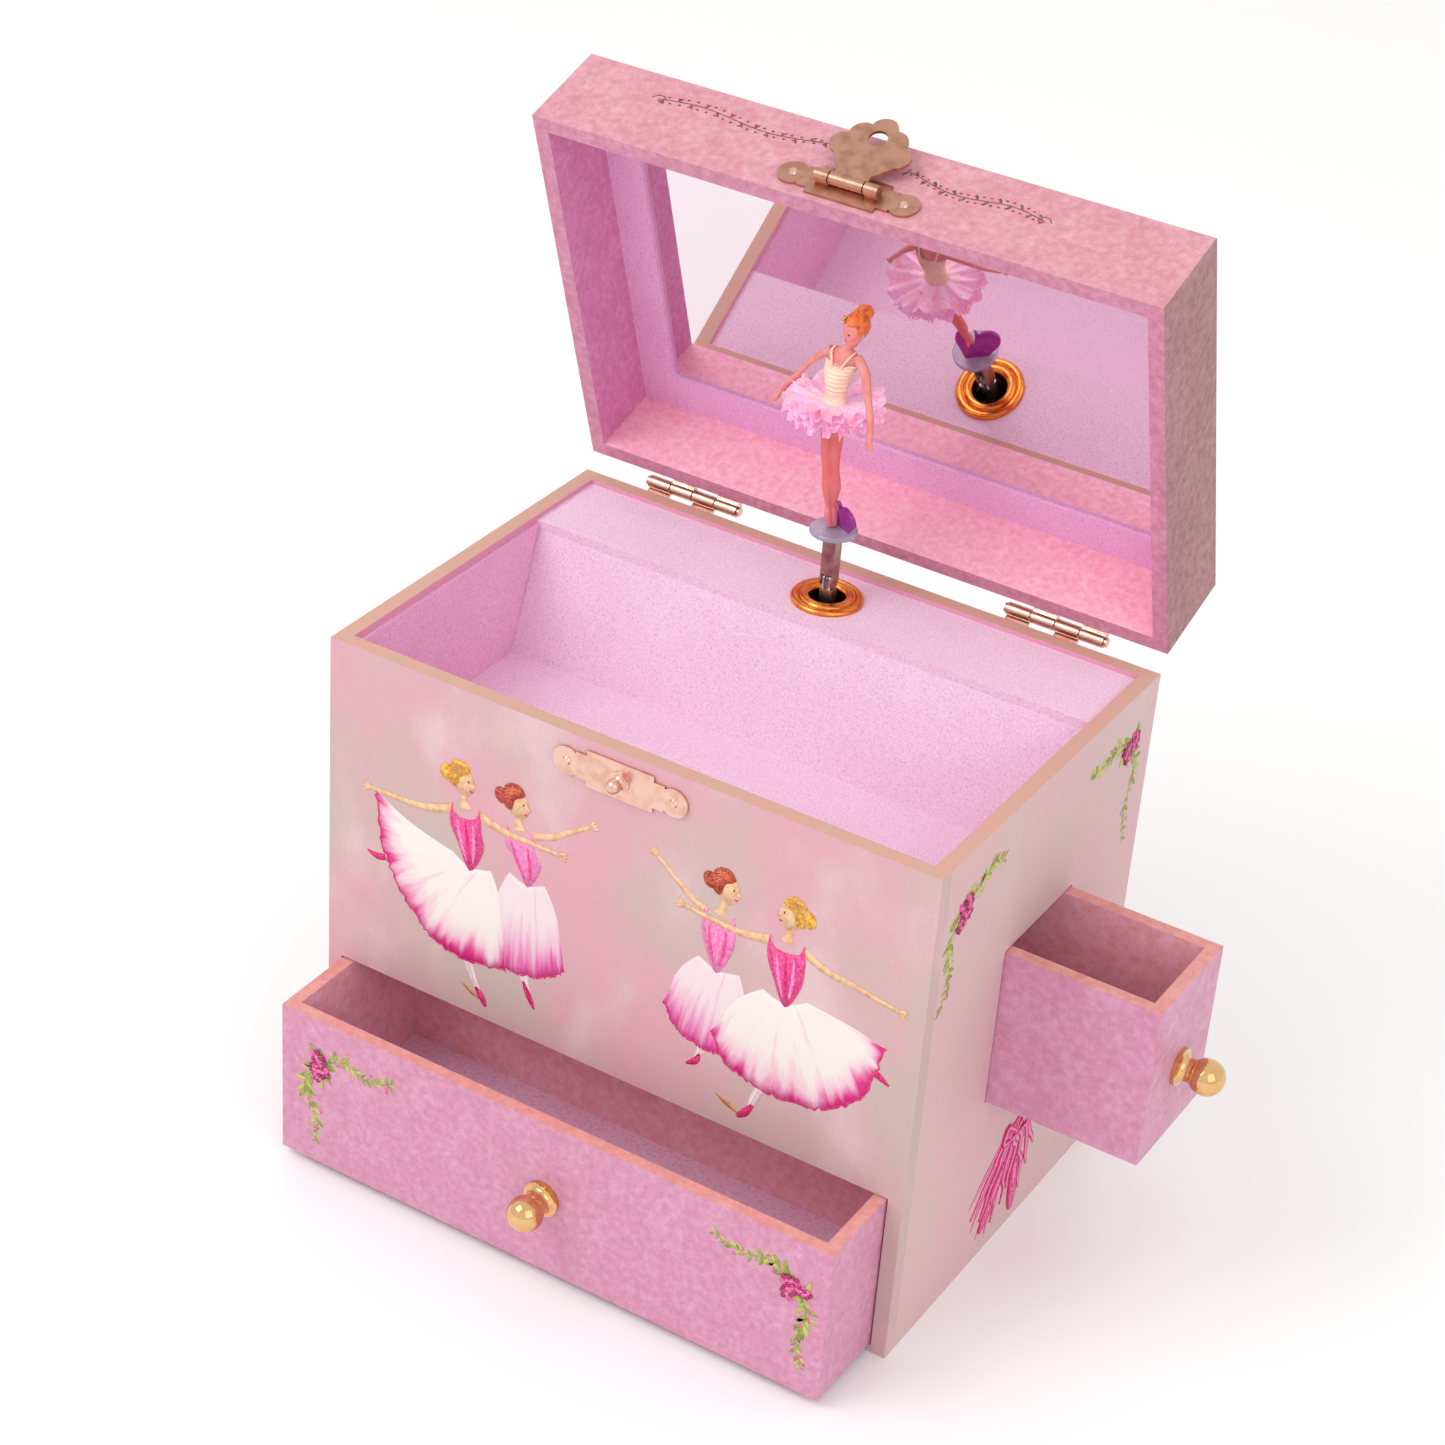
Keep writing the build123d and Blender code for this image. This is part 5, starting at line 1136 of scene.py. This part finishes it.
back_right = {
    "head": (27.0, 103.0), "face": 1, "hair": "red_hair", "shoulders": ((22.0, 95.6), (29.4, 95.8)),
    "waist": (26.0, 82.6), "bodice": ("light_pink", "pink", "light_pink"), "skirt": "back_skirt",
    "waist_line": [(21.6, 83.6), (26.0, 81.8), (31.6, 82.8)],
    "hem": [(13.8, 68.2), (18.0, 62.4), (25.0, 60.4), (34.0, 62.0)],
    "arms": [[(22.6, 95.2, 2.1), (18.4, 97.4, 1.6), (14.8, 100.2, 1.3), (10.0, 104.0, 0.9)]],
    "legs": [[(24.6, 64.0, 2.8), (23.8, 60.0, 2.0), (22.8, 57.0, 1.2)]],
    "slippers": [[(23.6, 58.6, 0.6), (22.6, 56.4, 1.7), (20.4, 54.8, 0.6)]],
}


def printed_dancers():
    """Two pairs of dancers on the front panel, each with a brush stroke of shadow under the front foot."""
    for name, back, front, shadow in (
        ("left", back_left, front_left, [(-38.6, 50.4, 0.3), (-36.0, 48.8, 1.3), (-33.4, 47.6, 0.5)]),
        ("right", back_right, front_right, [(28.0, 50.6, 0.3), (31.0, 49.0, 1.3), (34.2, 47.6, 0.5)]),
    ):
        motif = Motif(on_front)
        motif.stroke(shadow, "ochre", 0)
        figure(motif, back, 0)
        figure(motif, front, 4)
        motif.finish(f"print_dancers_{name}", "root", "printed_paper")


def garland(motif, path, clusters, seed):
    """A trailing stem with leaves on both sides, and clusters of flowers given as (centre, reach)."""
    chance = random.Random(seed)
    leaf = 3.4
    flowers = 7
    line = smooth_line(path, 10)
    motif.stroke([(u, v, 0.45 - 0.25 * k / len(line)) for k, (u, v) in enumerate(line)], "leaf", 0, 1)
    for k in range(1, len(line) - 1, 2):
        u, v = line[k]
        run = (line[k + 1][0] - u, line[k + 1][1] - v)
        turn = math.atan2(run[1], run[0])
        fade = 1 - 0.45 * k / len(line)
        for side in (-1, 1):
            size = leaf * fade * chance.uniform(0.6, 1.15)
            name = chance.choice(("leaf", "pale_leaf", "leaf"))
            motif.leaf((u, v), turn + side * chance.uniform(0.5, 1.15), size, name, 1 + chance.randrange(3))
        if chance.random() < 0.3:
            bud = (u + chance.uniform(-1.6, 1.6), v + chance.uniform(-1.6, 1.6))
            motif.oval(bud, (0.5, 0.38), "petal", 4, chance.uniform(0, 3))
    for centre, reach in clusters:
        for k in range(flowers):
            angle = chance.uniform(0, math.tau)
            away = reach * math.sqrt(k / flowers)
            place = (centre[0] + away * math.cos(angle), centre[1] + away * math.sin(angle))
            motif.leaf(place, chance.uniform(0, math.tau), leaf, chance.choice(("leaf", "pale_leaf")), 4 + k)
            motif.flower(place, chance.uniform(1.3, 2.0), angle, 12 + 6 * k)


def printed_garlands():
    """Corner sprays on the right wall and on the front drawer: one stem across, and one down with flowers."""
    sprays = (
        (
            "side_front", on_right, (-38.5, 112.5), ((-38.3, 111.0), 3.4),
            [(-31.0, 114.0), (-26.0, 116.4), (-20.9, 115.4)],
            [(-42.5, 105.0), (-41.0, 96.5), (-43.4, 89.1)],
        ),
        (
            "side_back", on_right, (38.5, 113.0), ((38.3, 112.5), 3.2),
            [(31.0, 115.2), (25.0, 113.6), (18.8, 114.8)],
            [(42.4, 105.0), (40.0, 95.0), (41.7, 85.8)],
        ),
        (
            "drawer_left", on_drawer, (-61.6, 29.6), ((-61.4, 29.4), 3.3),
            [(-54.0, 33.4), (-47.0, 31.6), (-40.6, 33.9)],
            [(-64.8, 22.0), (-61.4, 15.0), (-61.5, 8.3)],
        ),
        (
            "drawer_right", on_drawer, (63.6, 30.4), ((63.6, 29.8), 3.2),
            [(57.0, 34.0), (50.0, 32.6), (42.4, 34.3)],
            [(66.4, 23.0), (64.4, 16.0), (66.2, 9.2)],
        ),
    )
    carriers = {on_right: ("root", "printed_paper"), on_drawer: ("front_drawer", "drawer_paper")}
    for number, (name, place, corner, cluster, across, down) in enumerate(sprays):
        motif = Motif(place)
        garland(motif, [corner, *across], [], 2 * number + 1)
        garland(motif, [corner, *down], [cluster], 2 * number + 2)
        motif.finish(f"print_garland_{name}", *carriers[place])


def printed_slippers():
    """A pair of ballet slippers that hang in a sheaf of ribbons, low on the right wall."""
    motif = Motif(on_right)
    chance = random.Random(11)
    top = (6.0, 31.4)
    ends = [
        (-15.0, 17.6), (-12.6, 9.8), (-9.4, 5.6), (-5.0, 4.4), (15.8, 17.0), (13.6, 12.4),
        (10.6, 7.4), (-13.6, 13.6), (-2.6, 6.0), (1.4, 8.6), (-8.8, 10.4), (3.6, 12.0),
    ]
    ribbon_widths = (0.5, 1.5, 1.9, 1.7, 1.8, 1.4, 0.5)
    for number, end in enumerate(ends):
        waves = []
        for k, width in enumerate(ribbon_widths):
            t = k / (len(ribbon_widths) - 1)
            drift = chance.uniform(-1.5, 1.5) * math.sin(math.pi * t)
            u = top[0] + (end[0] - top[0]) * t**0.8 + drift
            v = top[1] + (end[1] - top[1]) * t + 0.6 * drift
            waves.append((u, v, width))
        motif.stroke(waves, "rose", 2 * number)
        motif.stroke([(u, v, 0.5 * w) for u, v, w in waves], "light_pink", 2 * number + 1)
    for foot, (heel, toe) in enumerate((((1.0, 21.0), (-8.2, 6.6)), ((6.6, 19.4), (7.2, 3.6)))):
        run = (toe[0] - heel[0], toe[1] - heel[1])
        length = math.hypot(*run)
        layer = 26 + 5 * foot
        widths = (1.2, 3.4, 3.7, 3.9, 3.4, 1.4)
        sole = [(heel[0] + run[0] * k / 5, heel[1] + run[1] * k / 5, w) for k, w in enumerate(widths)]
        motif.stroke(sole, "rose", layer)
        motif.stroke([(u, v, w - 0.9) for u, v, w in sole], "petal", layer + 1)
        mouth = (heel[0] + 0.33 * run[0], heel[1] + 0.33 * run[1])
        turn = math.atan2(run[1], run[0])
        motif.oval(mouth, (0.27 * length, 1.2), "rose", layer + 2, turn)
        motif.oval(mouth, (0.23 * length, 0.75), "light_pink", layer + 3, turn)
    knot = top[0] - 1.0
    for side in (-1, 1):
        bow = [
            (knot, 27.4, 0.6), (knot + 4.4 * side, 31.0, 1.7),
            (knot + 6.0 * side, 27.2, 1.5), (knot, 26.6, 0.6),
        ]
        motif.stroke(bow, "rose", 38 + side)
        motif.stroke([(u, v, 0.45 * w) for u, v, w in bow], "light_pink", 41 + side)
    motif.finish("print_slippers", "root", "printed_paper")


def printed_scrolls():
    """A thin dotted vine on each half of the lid's front wall, with a curl at its outer end."""
    motif = Motif(on_lid)
    bends = 12
    dots = 40
    for start, end, low, high in ((-52.4, -8.4, 16.2, 17.3), (41.0, 8.1, 14.1, 15.7)):
        way = 1 if end > start else -1

        def on_vine(t):
            return (start + (end - start) * t, low + (high - low) * t + 1.1 * math.sin(7.5 * t))

        motif.stroke([(*on_vine(k / bends), 0.32) for k in range(bends + 1)], "sepia", 0, 3)
        curl = []
        for k in range(8):
            out = 1.6 * (1.2 - 0.16 * k) * math.cos(0.9 * k)
            curl.append((start - way * out, low + (1.6 - 0.2 * k) * math.sin(0.9 * k), 0.3))
        motif.stroke(curl, "sepia", 1, 4)
        for k in range(dots):
            t = (k + 0.5) / dots
            side = 1 if k % 2 else -1
            u, v = on_vine(t)
            dot = (u, v + side * (0.9 + 0.3 * math.sin(5 * t)))
            motif.oval(dot, (0.36, 0.28), ("rose", "sepia", "sepia")[k % 3], 1)
            if k % 3 == 0:
                motif.leaf((u, v), side * 1.0 + (0 if way > 0 else math.pi), 1.7, "sepia", 2)
    motif.finish("print_scrolls", "lid", "lid_paper")


printed_dancers()
printed_garlands()
printed_slippers()
printed_scrolls()


# ---------------------------------------------------------------- studio
def studio():
    """A pale floor, a soft sky, and two soft lamps."""
    bpy.context.scene.view_settings.view_transform = "Standard"
    floor_size = 6
    bpy.ops.mesh.primitive_plane_add(size=floor_size, location=(0, 0, cad_box[0].z))
    floor = bpy.context.object
    floor.name = "floor"
    paint = Finish("floor_paper")
    paint.colour(paint.mix(paint.noise(0.4, 3), srgb(250, 250, 250), srgb(252, 252, 252)))
    floor.data.materials.append(paint.material)
    world = bpy.data.worlds.new("studio")
    world.use_nodes = True
    sky = world.node_tree.nodes["Background"]
    sky.inputs["Color"].default_value = (1.0, 0.99, 0.985, 1)
    sky.inputs["Strength"].default_value = 0.94
    bpy.context.scene.world = world
    # place, size in metres, power in watts
    lamps = {
        "key": ((-0.55, -0.75, 1.05), 0.7, 5.2),
        "fill": ((0.9, -0.6, 0.7), 0.9, 2.2),
    }
    aim = Vector((0, 0, 0.1))
    for name, (place, size, power) in lamps.items():
        lamp = bpy.data.lights.new(name, "AREA")
        lamp.size = size
        lamp.energy = power
        holder = bpy.data.objects.new(name, lamp)
        holder.location = place
        holder.rotation_euler = (aim - Vector(place)).to_track_quat("-Z", "Y").to_euler()
        bpy.context.scene.collection.objects.link(holder)


def camera():
    """The camera: it looks down on the front and the right side, rolled a little."""
    azimuth, elevation, roll = math.radians(29.58), math.radians(31.93), math.radians(4.48)
    target = Vector((-13.6, 14.9, 95.5)) * MM
    distance = 756.6 * MM
    back = Vector((
        math.sin(azimuth) * math.cos(elevation),
        -math.cos(azimuth) * math.cos(elevation),
        math.sin(elevation),
    ))
    level = Vector((0, 0, 1)).cross(back).normalized()
    upright = back.cross(level)
    right = level * math.cos(roll) + upright * math.sin(roll)
    up = upright * math.cos(roll) - level * math.sin(roll)
    lens = bpy.data.cameras.new("camera")
    lens.sensor_width = 36
    lens.lens = 83.7
    holder = bpy.data.objects.new("camera", lens)
    facing = Matrix((right, up, back)).transposed().to_4x4()
    holder.matrix_world = Matrix.Translation(target + back * distance) @ facing
    bpy.context.scene.collection.objects.link(holder)
    bpy.context.scene.camera = holder


studio()
camera()
